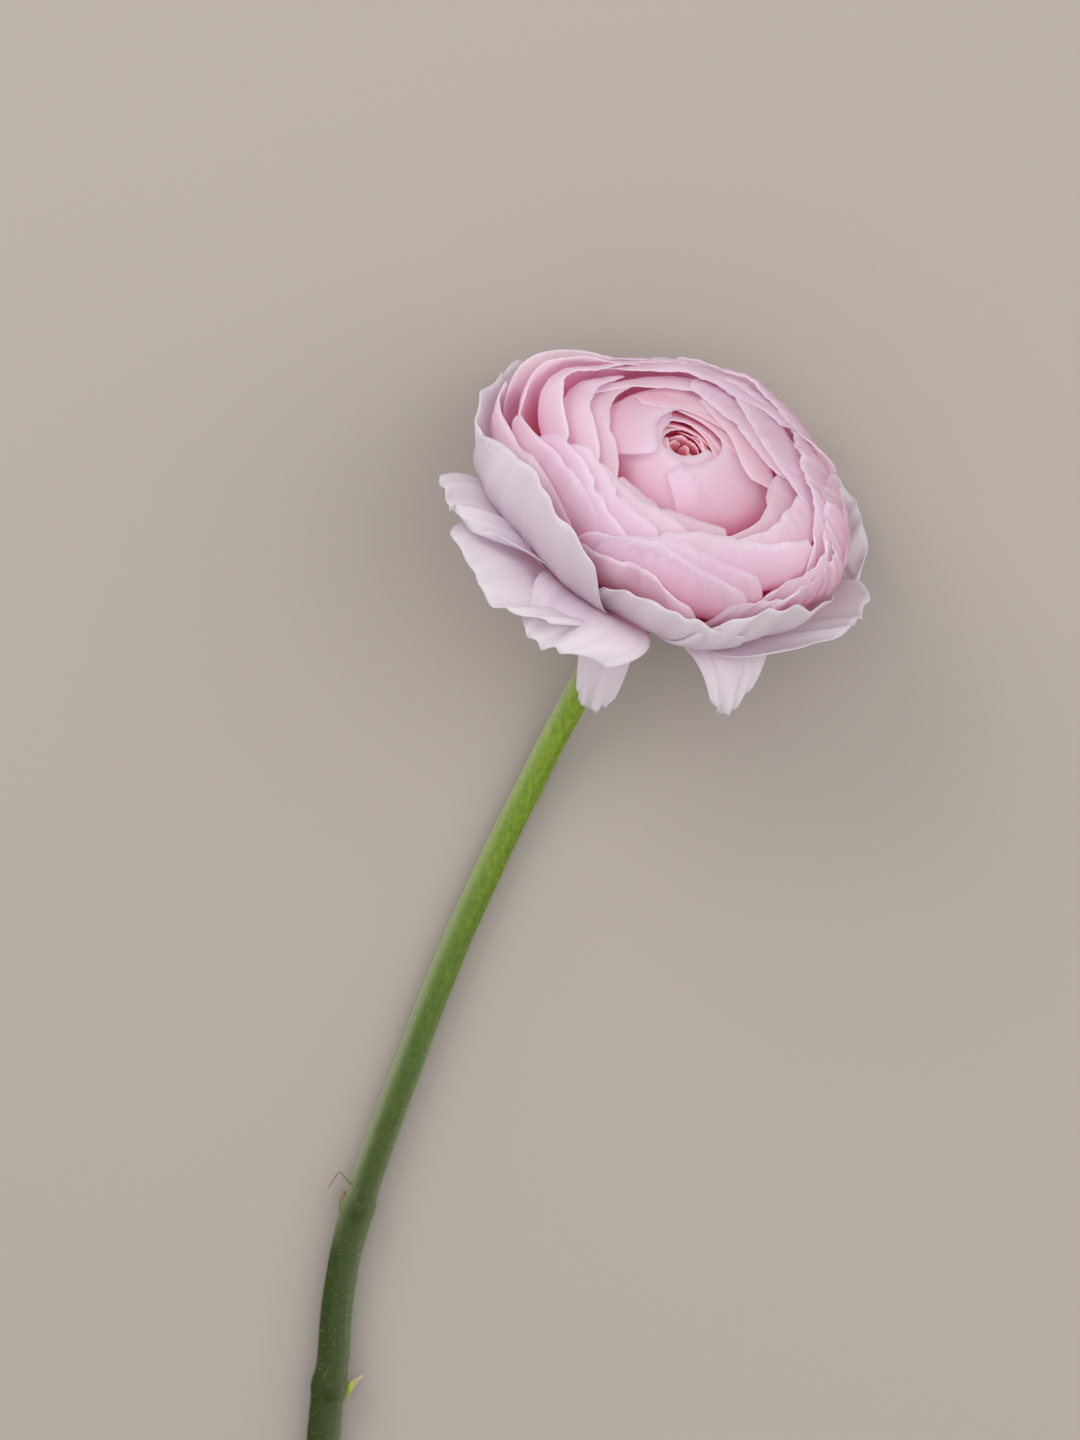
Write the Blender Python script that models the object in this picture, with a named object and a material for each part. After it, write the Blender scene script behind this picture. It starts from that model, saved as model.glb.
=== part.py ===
# Cut ranunculus flower lying on a surface: a layered bloom on its curved stem.
# Metres. +Z is up from the surface, +Y runs along the stem towards the bloom.
# The origin is on the surface, under the middle of the flower's box.

import math
import random

import bpy
import bmesh
import numpy as np
from mathutils import Vector

# The bloom's own frame: x, y across the bloom, z along its axis from the top of the stem
BLOOM_CENTRE = Vector((0.0156, 0.0840, 0.0310))
CENTRE_ABOVE_BASE = 0.0160
AXIS_LEAN = math.radians(25)
AXIS_RISE = math.radians(40)
AXIS_Z = Vector((math.sin(AXIS_LEAN) * math.cos(AXIS_RISE),
                 math.cos(AXIS_LEAN) * math.cos(AXIS_RISE),
                 math.sin(AXIS_RISE)))
AXIS_X = Vector((math.cos(AXIS_LEAN), -math.sin(AXIS_LEAN), 0))
AXIS_Y = AXIS_Z.cross(AXIS_X)
BLOOM_BASE = BLOOM_CENTRE - AXIS_Z * CENTRE_ABOVE_BASE

# Petals of the bud and of the open rings: place from the inside out (0 to 1), rim radius,
# rim height, lean of the rim in degrees, width, swell of the profile below the rim
BUD_STAGES = (
    (0.0, 0.0018, 0.0300, 100, 0.0080, 0.50),
    (0.3, 0.0024, 0.0308, 126, 0.0130, 0.52),
    (0.6, 0.0034, 0.0316, 150, 0.0270, 0.68),
    (1.0, 0.0052, 0.0323, 165, 0.0440, 0.84),
)
RING_STAGES = (
    (0.0, 0.0128, 0.0306, 156, 0.0360, 0.62),
    (0.3, 0.0205, 0.0290, 134, 0.0400, 0.55),
    (0.6, 0.0288, 0.0252, 114, 0.0430, 0.52),
    (0.8, 0.0335, 0.0212, 96, 0.0450, 0.50),
    (1.0, 0.0382, 0.0155, 70, 0.0440, 0.50),
)
BUD_COUNT = 12
RING_COUNT = 30
BUD_SHARE = BUD_COUNT / (BUD_COUNT + RING_COUNT)
FIRST_TURN = 20
TURN_STEP = 141
PETAL_SEED = 11
INNER_START = 74
START_FALL = 57

# Towards the back the bud opens a little, and the rings close over it like the scales of a ball:
# place, rim radius, rim height, lean, swell of the rings there
BACK_TURN = 65
BACK_SPREAD = 85
BACK_POWER = 4
BUD_BACK_OUT = 0.60
BACK_STAGES = (
    (0.0, 0.0100, 0.0325, 168, 0.80),
    (0.3, 0.0150, 0.0322, 164, 0.75),
    (0.6, 0.0205, 0.0310, 158, 0.70),
    (0.8, 0.0248, 0.0284, 148, 0.65),
    (1.0, 0.0290, 0.0240, 134, 0.60),
)

# Towards the front the first ring stands further out and lower, round the bud,
# and the last one closer, higher and more upright
FRONT_TURN = 275
FRONT_SPREAD = 66
FRONT_OUT = 0.46
FRONT_DROP = 0.0020
FRONT_IN = 0.18
FRONT_RISE = 0.0045
FRONT_LEAN = 16

# Heart: small upright petals in the eye of the bud
HEART_COUNT = 4
HEART_RIM = (0.0007, 0.0284)
HEART_WIDTH = 0.0032
HEART_ROOT = 0.0010
HEART_FOOT = 0.0086
HEART_HEAD = 0.0160

# Guard petals, round the outside: turn in degrees, rim radius, rim height, lean, width, start, taper
GUARDS = (
    (206, 0.0455, 0.0080, 0, 0.026, -12, 0.90),
    (222, 0.0385, 0.0225, 84, 0.046, -2, 0.45),
    (232, 0.0545, 0.0060, 0, 0.040, -10, 0.50),
    (256, 0.0515, 0.0015, -26, 0.033, -8, 0.72),
    (288, 0.0350, 0.0160, 66, 0.040, 1, 0.45),
    (328, 0.0340, 0.0190, 84, 0.037, 1, 0.60),
    (358, 0.0395, 0.0125, 42, 0.036, -6, 0.80),
    (45, 0.0405, 0.0140, 48, 0.042, 0, 0.60),
    (90, 0.0430, 0.0165, 50, 0.042, -3, 0.60),
    (135, 0.0405, 0.0125, 42, 0.042, -4, 0.60),
    (184, 0.0372, 0.0165, 66, 0.040, -6, 0.55),
)

# Guards that hang down in front of the stem: the same values
HANGING_GUARDS = (
    (276, 0.0200, -0.0202, -100, 0.0138, -34, 0.75),
    (322, 0.0330, -0.0062, -80, 0.024, -12, 0.97),
)
HANGING_WIDEST = 0.40
HANGING_NARROWING = 1.1
HANGING_BOWS = (-0.0020, 0.0042)

# Sepals: green, folded back along the top of the stem
SEPAL_COUNT = 5
SEPAL_FIRST_TURN = 12
SEPAL_WIDTH = 0.0070
SEPAL_ROOT = (0.0046, -0.0017)
SEPAL_TIP = (0.0085, -0.0120)

# Roots: a cone under the petals, a disc under the guards and a collar under the sepals
CORE_FOOT = (0.0064, 0.0025)
CORE_SIDE = (0.0105, 0.0062)
CORE_RIM = (0.0086, 0.0082)
CORE_TOP = (0.0026, 0.0082)
GUARD_DISC = (0.0068, 0.0009, 0.0019)
SEPAL_COLLAR = (0.0041, 0.0052, -0.0026, -0.0009)
ROOT_DEPTH = 0.0011
CLAW = 0.1
MIN_RADIUS = 0.001
CURVE_STEPS = 48

# Blade thickness of petals, and the room between them and the surface
PETAL_THICK = 0.0006
GUARD_THICK = 0.0007
SEPAL_THICK = 0.0009
PETAL_FLOOR = 0.0018
GUARD_FLOOR = 0.0

# Steps of each blade's mesh, along it and across it
HEART_GRID = (4, 3)
BUD_GRID = (4, 3)
RING_GRID = (4, 4)
GUARD_GRID = (6, 4)
SEPAL_GRID = (5, 3)

# The bloom's uneven shape: pulled in at the front, raised in a lobe at the back left
OUTLINE = ((245, 62, -0.30), (173, 26, 0.18), (52, 32, 0.08), (113, 22, 0.09))
OUTLINE_REACH = 0.030
EYE_SHIFT = (-0.0025, -0.0018)
EYE_REACH = 0.020
EYE_FOOT = 0.014
EYE_TOP = 0.030
LOBE_TURN = 163
LOBE_SPREAD = 28
LOBE_RISE = 0.0055
LOBE_FROM = 0.018
LOBE_TO = 0.036
SWAY = 0.0012
SWAY_LENGTH = 0.042

# Stem: where its centre line runs over the surface, from under the bloom to the cut end
STEM_ROUTE = (
    (0.0082, 0.0668), (0.0028, 0.0564), (-0.0030, 0.0457), (-0.0140, 0.0241),
    (-0.0238, 0.0025), (-0.0321, -0.0191), (-0.0400, -0.0407), (-0.0432, -0.0515),
    (-0.0450, -0.0628), (-0.0459, -0.0735), (-0.0472, -0.0837), (-0.0496, -0.1103),
)
STEM_RINGS_PER_SPAN = 4
STEM_SIDES = 12
# Length along the stem and its radius there: the first two are the bloom's seat
STEM_RADII = ((0.0, 0.0042), (0.006, 0.0023), (0.04, 0.0024), (0.12, 0.0027), (0.175, 0.0031),
              (0.20, 0.0034))
STEM_TOP = 0.0006
STEM_DROP = 0.060
STEM_PRESS = 0.0001
CUT_SLOPE = 0.8
NODE_PLACES = (-0.0443, -0.0777)
NODE_SWELL = 0.0004
NODE_LENGTH = 0.0018

# Stubs left by a leaf and a side bud: root, tip, root radius, tip radius
STUBS = (
    ((-0.0432, -0.0495, 0.0032), (-0.0440, -0.0418, 0.0042), 0.0016, 0.0004),
    ((-0.0445, -0.0788, 0.0034), (-0.0403, -0.0760, 0.0042), 0.0013, 0.0005),
)
SIDES = 16


def material(name, colour, roughness):
    """A plain Principled material in the part's colour."""
    made = bpy.data.materials.new(name)
    made.use_nodes = True
    shader = made.node_tree.nodes["Principled BSDF"]
    shader.inputs["Base Color"].default_value = (*colour, 1)
    shader.inputs["Roughness"].default_value = roughness
    shader.inputs["Metallic"].default_value = 0
    return made


def to_world(points):
    """Points of the bloom's frame in world metres."""
    frame = np.array([AXIS_X, AXIS_Y, AXIS_Z])
    return points @ frame + np.array(BLOOM_BASE)


def smooth_step(value):
    """Rises smoothly from 0 to 1."""
    held = np.clip(value, 0, 1)
    return held * held * (3 - 2 * held)


def bump(turn, middle, spread, power=2):
    """1 at one turn round the axis, falling off to both sides, more squarely with a higher power."""
    away = (turn - middle + 180) % 360 - 180
    return np.exp(-np.abs(away / spread) ** power)


def profile(root, start, radius, height, lean, swell):
    """Side views of a petal as curves from root to rim, one for each rim: length, radius and height."""
    root = np.array(root)
    rim = np.stack([radius, height], axis=-1)
    chord = np.linalg.norm(rim - root, axis=-1, keepdims=True)
    leave = root + 0.55 * chord * np.array([math.cos(start), math.sin(start)])
    arrive = rim - swell[:, None] * chord * np.stack([np.cos(lean), np.sin(lean)], axis=-1)
    t = np.linspace(0, 1, CURVE_STEPS + 1)[:, None, None]
    curve = (1 - t) ** 3 * root + 3 * (1 - t) ** 2 * t * leave + 3 * (1 - t) * t * t * arrive + t ** 3 * rim
    steps = np.linalg.norm(np.diff(curve, axis=0), axis=-1)
    length = np.concatenate([np.zeros((1, len(radius))), np.cumsum(steps, axis=0)])
    return length, curve[..., 0], curve[..., 1]


def rims_at(petal, turns):
    """Rim radius, rim height, lean and swell of a petal at each turn round the axis."""
    values = np.array([*petal["rim"], petal["lean"], petal["swell"]])[:, None] * np.ones(len(turns))
    if petal["back"] is not None:
        back = bump(turns, BACK_TURN, BACK_SPREAD, BACK_POWER)
        values += (np.array(petal["back"])[:, None] - values) * back
    front = bump(turns, FRONT_TURN, FRONT_SPREAD)
    radius = values[0] * (1 + petal["front_out"] * front)
    height = values[1] + petal["front_rise"] * front
    return radius, height, np.radians(values[2] + petal["front_lean"] * front), values[3]


def columns_between(places, lengths, values):
    """The values at given places along each column's own curve."""
    return np.stack([np.interp(places[:, column], lengths[:, column], values[:, column])
                     for column in range(places.shape[1])], axis=-1)


def petal_sheet(petal, rows, columns):
    """A petal's middle surface as a grid of points, root row first, in the bloom's frame."""
    start = math.radians(petal["start"])
    up = np.linspace(0, 1, rows + 1)[:, None]
    across = np.linspace(-1, 1, columns + 1)[None, :]
    most = math.radians(petal["wrap"])
    # each column has its own side view, after the turn that it has near the rim
    middle = profile(petal["root"], start, *rims_at(petal, np.array([petal["turn"]])))
    near_rim = max(middle[1][CURVE_STEPS * 4 // 5, 0], MIN_RADIUS) * petal["flat"]
    turns = petal["turn"] + np.degrees(most * np.tanh(across[0] * 0.5 * petal["width"] / (near_rim * most)))
    length_at, radius_at, height_at = profile(petal["root"], start, *rims_at(petal, turns))
    # the rim is rounded off towards its corners, with a shallow notch at the middle
    cut = petal["round"] * np.abs(across) ** 2.6 + petal["skew"] * across
    cut = cut + petal["notch"] * np.exp(-(across / 0.12) ** 2)
    along = up * length_at[-1] * (1 - cut * (0.2 + 0.8 * up))
    t = along / length_at[-1]
    widest = petal["widest"]
    half = CLAW + (1 - CLAW) * np.sin(np.clip(t / widest, 0, 1) * math.pi / 2) ** 1.1
    narrowed = np.clip((t - widest) / (1 - widest), 0, 1) ** petal["narrowing"]
    half = 0.5 * petal["width"] * half * np.sqrt(1 - petal["taper"] * narrowed)
    # the blade wraps round the bloom's axis, a little flatter than the ring it stands in
    radius = np.maximum(columns_between(along, length_at, radius_at), MIN_RADIUS)
    reach = radius * petal["flat"]
    turned = most * np.tanh(across * half / (reach * most))
    out = radius - reach + reach * np.cos(turned)
    side = reach * np.sin(turned) + petal["bow"] * np.sin(t * math.pi)
    # the edges stand in or out, the rim curls and waves
    rim_curl = petal["curl"] * np.clip((t - 0.84) / 0.16, 0, 1) ** 2
    wave = petal["waves"] * across * math.pi + petal["phase"]
    out = out + petal["tuck"] * across * t ** 1.4 + petal["flare"] * across ** 2 * t ** 2 + rim_curl
    out = out + petal["ruffle"] * np.sin(wave) * t ** 4
    height = columns_between(along, length_at, height_at) - 0.3 * rim_curl
    height = height + 0.5 * petal["ruffle"] * np.cos(1.3 * wave) * t ** 4
    turn = math.radians(petal["turn"])
    x = out * math.cos(turn) - side * math.sin(turn)
    y = out * math.sin(turn) + side * math.cos(turn)
    return np.stack([x, y, height], axis=-1)


def shape_bloom(points):
    """Gives every petal the bloom's uneven shape, so that neighbours move together."""
    x, y, z = points[..., 0], points[..., 1], points[..., 2]
    radius = np.hypot(x, y)
    turn = np.degrees(np.arctan2(y, x))
    drawn = sum(share * bump(turn, middle, spread) for middle, spread, share in OUTLINE)
    drawn = 1 + drawn * smooth_step(radius / OUTLINE_REACH)
    eye = smooth_step((z - EYE_FOOT) / (EYE_TOP - EYE_FOOT)) * (1 - smooth_step(radius / EYE_REACH))
    lobe = bump(turn, LOBE_TURN, LOBE_SPREAD) * smooth_step((radius - LOBE_FROM) / (LOBE_TO - LOBE_FROM))
    lobe = lobe * smooth_step(z / CENTRE_ABOVE_BASE)
    outer = SWAY * smooth_step(radius / 0.02)
    k = 2 * math.pi / SWAY_LENGTH
    swayed_x = x * drawn + EYE_SHIFT[0] * eye + outer * np.sin(k * y + 0.7 * k * z)
    swayed_y = y * drawn + EYE_SHIFT[1] * eye + outer * np.sin(0.8 * k * x + k * z + 2.0)
    swayed_z = z + LOBE_RISE * lobe + outer * np.sin(0.9 * k * x - 0.6 * k * y + 4.1)
    return np.stack([swayed_x, swayed_y, swayed_z], axis=-1)


def petal_defaults(**values):
    """A petal with a plain blade, changed by the values given."""
    petal = dict(swell=0.5, round=0.1, skew=0.0, notch=0.0, taper=0.7, widest=0.64, narrowing=2.4,
                 back=None, front_out=0.0, front_rise=0.0, front_lean=0.0,
                 flat=1.05, wrap=105, bow=0.0,
                 curl=0.0, waves=1.0, phase=0.0, tuck=0.0, flare=0.0, ruffle=0.0)
    petal.update(values)
    return petal


def read_stage(stages, place):
    """The stage values between two rows of a table."""
    places = [row[0] for row in stages]
    return [float(np.interp(place, places, [row[column] for row in stages]))
            for column in range(1, len(stages[0]))]


def root_on_core(place):
    """A root point inside the core: at its top for the first petals, at its foot for the last."""
    top, foot = np.array(CORE_TOP), np.array(CORE_FOOT)
    point = top + (foot - top) * (0.04 + 0.93 * place)
    return (float(point[0]) - ROOT_DEPTH, float(point[1]))


def bloom_petals():
    """The bud's and the rings' petals, set one after another on a spiral from the inside out."""
    rng = random.Random(PETAL_SEED)
    total = BUD_COUNT + RING_COUNT
    petals = []
    for number in range(total):
        place = number / (total - 1)
        in_bud = number < BUD_COUNT
        if in_bud:
            ring_place = 0.0
            values = read_stage(BUD_STAGES, number / (BUD_COUNT - 1))
        else:
            ring_place = (number - BUD_COUNT) / (RING_COUNT - 1)
            values = read_stage(RING_STAGES, ring_place)
        rim_radius, rim_height, lean, width, swell = values
        loose = 0.25 if in_bud else 0.4 + 0.6 * ring_place
        turn = FIRST_TURN + TURN_STEP * number + rng.uniform(-7, 7)
        first, last = (1 - ring_place) ** 2, ring_place ** 1.5
        if in_bud:
            first = 0.0
            share = place / BUD_SHARE
            back = (rim_radius * (1 + BUD_BACK_OUT * share), rim_height, lean, swell)
        else:
            back = read_stage(BACK_STAGES, ring_place)
        loosened = (rng.uniform(-0.0003, 0.0003) * loose, rng.uniform(-0.0012, 0.0010) * loose,
                    rng.uniform(-5, 5) * loose)
        petals.append(petal_defaults(
            grid=BUD_GRID if in_bud else RING_GRID,
            turn=turn,
            root=root_on_core(place),
            start=INNER_START - START_FALL * min(1.0, place * 1.4),
            rim=(rim_radius + loosened[0], rim_height + loosened[1]),
            lean=lean + loosened[2],
            swell=swell,
            back=(back[0] + loosened[0], back[1] + loosened[1], back[2] + loosened[2], back[3]),
            front_out=FRONT_OUT * first - FRONT_IN * last,
            front_rise=FRONT_RISE * last - FRONT_DROP * first,
            front_lean=FRONT_LEAN * last,
            width=width * rng.uniform(0.86, 1.12),
            round=rng.uniform(0.06, 0.13),
            skew=rng.uniform(-0.04, 0.04),
            notch=rng.choice((0, 0, 0.012, 0.022)),
            taper=rng.uniform(0.66, 0.80) * (0.55 if in_bud else 1.0),
            flat=rng.uniform(1.0, 1.1),
            tuck=rng.uniform(-0.0003, 0.0003) * loose,
            flare=rng.uniform(-0.0005, 0.0002) * loose,
            curl=rng.uniform(-0.0003, 0.0016) * max(0.0, ring_place - 0.2),
            ruffle=rng.uniform(0.0, 0.0005) * place,
            waves=rng.uniform(0.8, 1.8),
            phase=rng.uniform(0, 2 * math.pi)))
    return petals


def heart_petals():
    """The small petals that close the middle of the bud."""
    petals = []
    for number in range(HEART_COUNT):
        outer = number / (HEART_COUNT - 1)
        petals.append(petal_defaults(
            turn=TURN_STEP * number, root=(0.0006, 0.0100), start=70,
            rim=(HEART_RIM[0] * (0.4 + 0.6 * outer), HEART_RIM[1] - 0.0008 * (number % 2)),
            lean=98, swell=0.4, width=HEART_WIDTH, round=0.1, grid=HEART_GRID))
    return petals


def guard_petals():
    """The wide outer petals, level or hanging."""
    petals = []
    root = (GUARD_DISC[0] - ROOT_DEPTH, (GUARD_DISC[1] + GUARD_DISC[2]) / 2)
    for number, (turn, radius, height, lean, width, start, taper) in enumerate(GUARDS + HANGING_GUARDS):
        petal = petal_defaults(
            turn=turn, root=root, start=start, rim=(radius, height), lean=lean, width=width,
            taper=taper, round=0.12, wrap=80, flat=1.15, grid=GUARD_GRID,
            ruffle=0.0006, waves=1.3 + 0.17 * number, phase=1.7 * number)
        if number >= len(GUARDS):
            petal.update(widest=HANGING_WIDEST, narrowing=HANGING_NARROWING,
                         bow=HANGING_BOWS[number - len(GUARDS)])
        petals.append(petal)
    return petals


def sepals():
    """Five narrow sepals folded back along the stem."""
    return [petal_defaults(turn=SEPAL_FIRST_TURN + 360 * number / SEPAL_COUNT, root=SEPAL_ROOT, start=-10,
                           rim=SEPAL_TIP, lean=-95, width=SEPAL_WIDTH, taper=0.9, round=0.2,
                           flat=1.3, wrap=60, grid=SEPAL_GRID)
            for number in range(SEPAL_COUNT)]


def blade_faces(rows, columns):
    """Triangles of a closed blade: both faces split alike, and a strip round the edge."""
    wide = columns + 1
    layer = (rows + 1) * wide
    faces = []
    for row in range(rows):
        for column in range(columns):
            a = row * wide + column
            b, c, d = a + 1, a + wide + 1, a + wide
            faces += [(a, c, b), (a, d, c)]
            faces += [(layer + a, layer + b, layer + c), (layer + a, layer + c, layer + d)]
    edge = list(range(wide))
    edge += [row * wide + columns for row in range(1, rows + 1)]
    edge += [rows * wide + column for column in range(columns - 1, -1, -1)]
    edge += [row * wide for row in range(rows - 1, 0, -1)]
    for start, end in zip(edge, edge[1:] + edge[:1]):
        faces += [(start, end, layer + end), (start, layer + end, layer + start)]
    return faces


def blade_points(sheet, thick, floor):
    """The two faces of a blade, half its thickness either side of the sheet, kept above the floor."""
    lifted = sheet.copy()
    lifted[..., 2] = np.maximum(lifted[..., 2], floor + thick / 2)
    across = np.gradient(lifted, axis=1)
    normal = np.cross(np.gradient(lifted, axis=0), across)
    normal /= np.maximum(np.linalg.norm(normal, axis=-1, keepdims=True), 1e-9)
    outer = lifted - normal * thick / 2
    inner = lifted + normal * thick / 2
    for face in (outer, inner):
        face[..., 2] = np.maximum(face[..., 2], floor)
    return np.concatenate([inner.reshape(-1, 3), outer.reshape(-1, 3)])


def mesh_object(name, points, faces, home):
    """An object from points and faces, with its faces pointing out."""
    mesh = bpy.data.meshes.new(name)
    mesh.from_pydata([tuple(point) for point in points], [], faces)
    made = bpy.data.objects.new(name, mesh)
    home.objects.link(made)
    return made


def make_blade(name, petal, thick, floor, home):
    """One petal as a closed solid."""
    rows, columns = petal["grid"]
    sheet = to_world(shape_bloom(petal_sheet(petal, rows, columns)))
    return mesh_object(name, blade_points(sheet, thick, floor), blade_faces(rows, columns), home)


def make_turned(name, outline, home):
    """A closed solid turned round the bloom's axis from an outline that starts and ends on the axis."""
    points = [(0, 0, outline[0][1])]
    for radius, height in outline[1:-1]:
        for side in range(SIDES):
            angle = 2 * math.pi * side / SIDES
            points.append((radius * math.cos(angle), radius * math.sin(angle), height))
    points.append((0, 0, outline[-1][1]))
    rings = len(outline) - 2
    last = len(points) - 1
    faces = []
    for side in range(SIDES):
        after = (side + 1) % SIDES
        faces.append((0, 1 + after, 1 + side))
        faces.append((last, 1 + (rings - 1) * SIDES + side, 1 + (rings - 1) * SIDES + after))
        for ring in range(rings - 1):
            a, b = 1 + ring * SIDES + side, 1 + ring * SIDES + after
            faces.append((a, b, b + SIDES, a + SIDES))
    return mesh_object(name, to_world(np.array(points)), faces, home)


def make_collar(name, inner, outer, low, high, home):
    """A plain ring round the bloom's axis."""
    points = []
    for radius, height in ((inner, low), (outer, low), (outer, high), (inner, high)):
        for side in range(SIDES):
            angle = 2 * math.pi * side / SIDES
            points.append((radius * math.cos(angle), radius * math.sin(angle), height))
    faces = []
    for ring in range(4):
        for side in range(SIDES):
            a, b = ring * SIDES + side, ring * SIDES + (side + 1) % SIDES
            above = ((ring + 1) % 4) * SIDES
            faces.append((a, b, above + (side + 1) % SIDES, above + side))
    return mesh_object(name, to_world(np.array(points)), faces, home)


def keep_main_body(made):
    """Fills sealed hollows and drops loose scraps: only the largest outer skin stays."""
    mesh = bmesh.new()
    mesh.from_mesh(made.data)
    bmesh.ops.triangulate(mesh, faces=mesh.faces[:])
    unseen = set(mesh.faces)
    groups = []
    while unseen:
        stack = [unseen.pop()]
        group = []
        while stack:
            face = stack.pop()
            group.append(face)
            for edge in face.edges:
                for near in edge.link_faces:
                    if near in unseen:
                        unseen.remove(near)
                        stack.append(near)
        groups.append(group)
    groups.sort(key=len)
    extra = [face for group in groups[:-1] for face in group]
    bmesh.ops.delete(mesh, geom=extra, context="FACES")
    mesh.to_mesh(made.data)
    mesh.free()


def fuse(core, blades_home, name, look):
    """Joins the blades to their core in one closed body."""
    core.name = name
    joiner = core.modifiers.new("fuse", "BOOLEAN")
    joiner.operation = "UNION"
    joiner.operand_type = "COLLECTION"
    joiner.collection = blades_home
    joiner.solver = "MANIFOLD"
    fused = bpy.data.meshes.new_from_object(core.evaluated_get(bpy.context.evaluated_depsgraph_get()))
    core.modifiers.clear()
    core.data = fused
    for blade in list(blades_home.objects):
        bpy.data.objects.remove(blade)
    bpy.data.collections.remove(blades_home)
    keep_main_body(core)
    core.data.materials.clear()
    core.data.materials.append(look)
    core.data.shade_smooth()
    core.data.set_sharp_from_angle(angle=math.radians(50))


def blades_collection(name):
    """A collection for the blades of one node."""
    made = bpy.data.collections.new(name)
    bpy.context.scene.collection.children.link(made)
    return made


def build_bloom():
    """Heart, petals, guard petals and sepals, each kind fused to its own root."""
    scene = bpy.context.scene.collection
    kinds = (
        ("heart", heart_petals(), PETAL_THICK, PETAL_FLOOR, (0.86, 0.34, 0.40),
         ((0, HEART_FOOT), (HEART_ROOT, HEART_FOOT), (HEART_ROOT, HEART_HEAD), (0, HEART_HEAD))),
        ("petals", bloom_petals(), PETAL_THICK, PETAL_FLOOR, (0.94, 0.70, 0.80),
         ((0, CORE_FOOT[1]), CORE_FOOT, CORE_SIDE, CORE_RIM, (0, CORE_TOP[1]))),
        ("guard_petals", guard_petals(), GUARD_THICK, GUARD_FLOOR, (0.90, 0.82, 0.88),
         ((0, GUARD_DISC[1]), (GUARD_DISC[0], GUARD_DISC[1]),
          (GUARD_DISC[0], GUARD_DISC[2]), (0, GUARD_DISC[2]))),
    )
    for name, petals, thick, floor, colour, outline in kinds:
        home = blades_collection(name + "_blades")
        for number, petal in enumerate(petals):
            make_blade(f"{name}_{number}", petal, thick, floor, home)
        core = make_turned(name + "_core", outline, scene)
        fuse(core, home, name, material(name, colour, 0.6))


def build_sepals():
    """The sepals, fused to a collar round the top of the stem."""
    home = blades_collection("sepal_blades")
    for number, sepal in enumerate(sepals()):
        make_blade(f"sepal_{number}", sepal, SEPAL_THICK, GUARD_FLOOR, home)
    collar = make_collar("sepal_collar", *SEPAL_COLLAR, bpy.context.scene.collection)
    fuse(collar, home, "sepals", material("sepals", (0.33, 0.45, 0.16), 0.6))


def smooth_route(points, steps):
    """A smooth curve through the points, with the given steps between each two."""
    points = [np.array(point) for point in points]
    padded = [2 * points[0] - points[1]] + points + [2 * points[-1] - points[-2]]
    curve = []
    for before, start, end, after in zip(padded, padded[1:], padded[2:], padded[3:]):
        for step in range(steps):
            t = step / steps
            curve.append(0.5 * (2 * start + (end - before) * t
                                + (2 * before - 5 * start + 4 * end - after) * t * t
                                + (3 * start - before - 3 * end + after) * t ** 3))
    curve.append(points[-1])
    return np.array(curve)


def stem_line():
    """The stem's centre line, radius and length along it, from the bloom to the cut end."""
    top = BLOOM_BASE + AXIS_Z * STEM_TOP
    flat = smooth_route(((top.x, top.y),) + STEM_ROUTE, STEM_RINGS_PER_SPAN)
    length = np.concatenate([[0], np.cumsum(np.linalg.norm(np.diff(flat, axis=0), axis=1))])
    radius = np.interp(length, [row[0] for row in STEM_RADII], [row[1] for row in STEM_RADII])
    for place in NODE_PLACES:
        radius = radius + NODE_SWELL * np.exp(-((flat[:, 1] - place) / NODE_LENGTH) ** 2)
    # the height falls from the bloom's seat, along its axis, and levels out on the surface
    u = np.clip(length / STEM_DROP, 0, 1)
    slope = -math.tan(AXIS_RISE) * STEM_DROP
    height = top.z * (2 * u ** 3 - 3 * u ** 2 + 1) + slope * (u ** 3 - 2 * u ** 2 + u)
    height = height + (radius - STEM_PRESS) * (3 * u ** 2 - 2 * u ** 3)
    return np.column_stack([flat, height]), radius


def build_stem():
    """The curved stem with its flared top, its slanted cut, two nodes and their stubs."""
    line, radii = stem_line()
    last = len(line) - 1
    points = []
    for ring, (centre, radius) in enumerate(zip(line, radii.tolist())):
        ahead = line[min(ring + 1, last)] - line[max(ring - 1, 0)]
        ahead = Vector(ahead).normalized() if ring else -AXIS_Z
        aside = ahead.cross(Vector((0, 0, 1))).normalized()
        up = aside.cross(ahead)
        for side in range(STEM_SIDES):
            angle = 2 * math.pi * side / STEM_SIDES
            point = Vector(centre) + radius * (math.cos(angle) * aside + math.sin(angle) * up)
            if ring == last:
                point -= ahead * CUT_SLOPE * radius * math.sin(angle)
            point.z = max(point.z, 0.0)
            points.append(point)
    faces = [tuple(range(STEM_SIDES))]
    faces.append(tuple(last * STEM_SIDES + side for side in range(STEM_SIDES - 1, -1, -1)))
    for ring in range(last):
        for side in range(STEM_SIDES):
            a, b = ring * STEM_SIDES + side, ring * STEM_SIDES + (side + 1) % STEM_SIDES
            faces.append((b, a, a + STEM_SIDES, b + STEM_SIDES))
    stem = mesh_object("stem", points, faces, bpy.context.scene.collection)
    home = blades_collection("stubs")
    for number, (root, tip, root_radius, tip_radius) in enumerate(STUBS):
        make_stub(f"stub_{number}", Vector(root), Vector(tip), root_radius, tip_radius, home)
    fuse(stem, home, "stem", material("stem", (0.30, 0.42, 0.13), 0.5))


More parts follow.
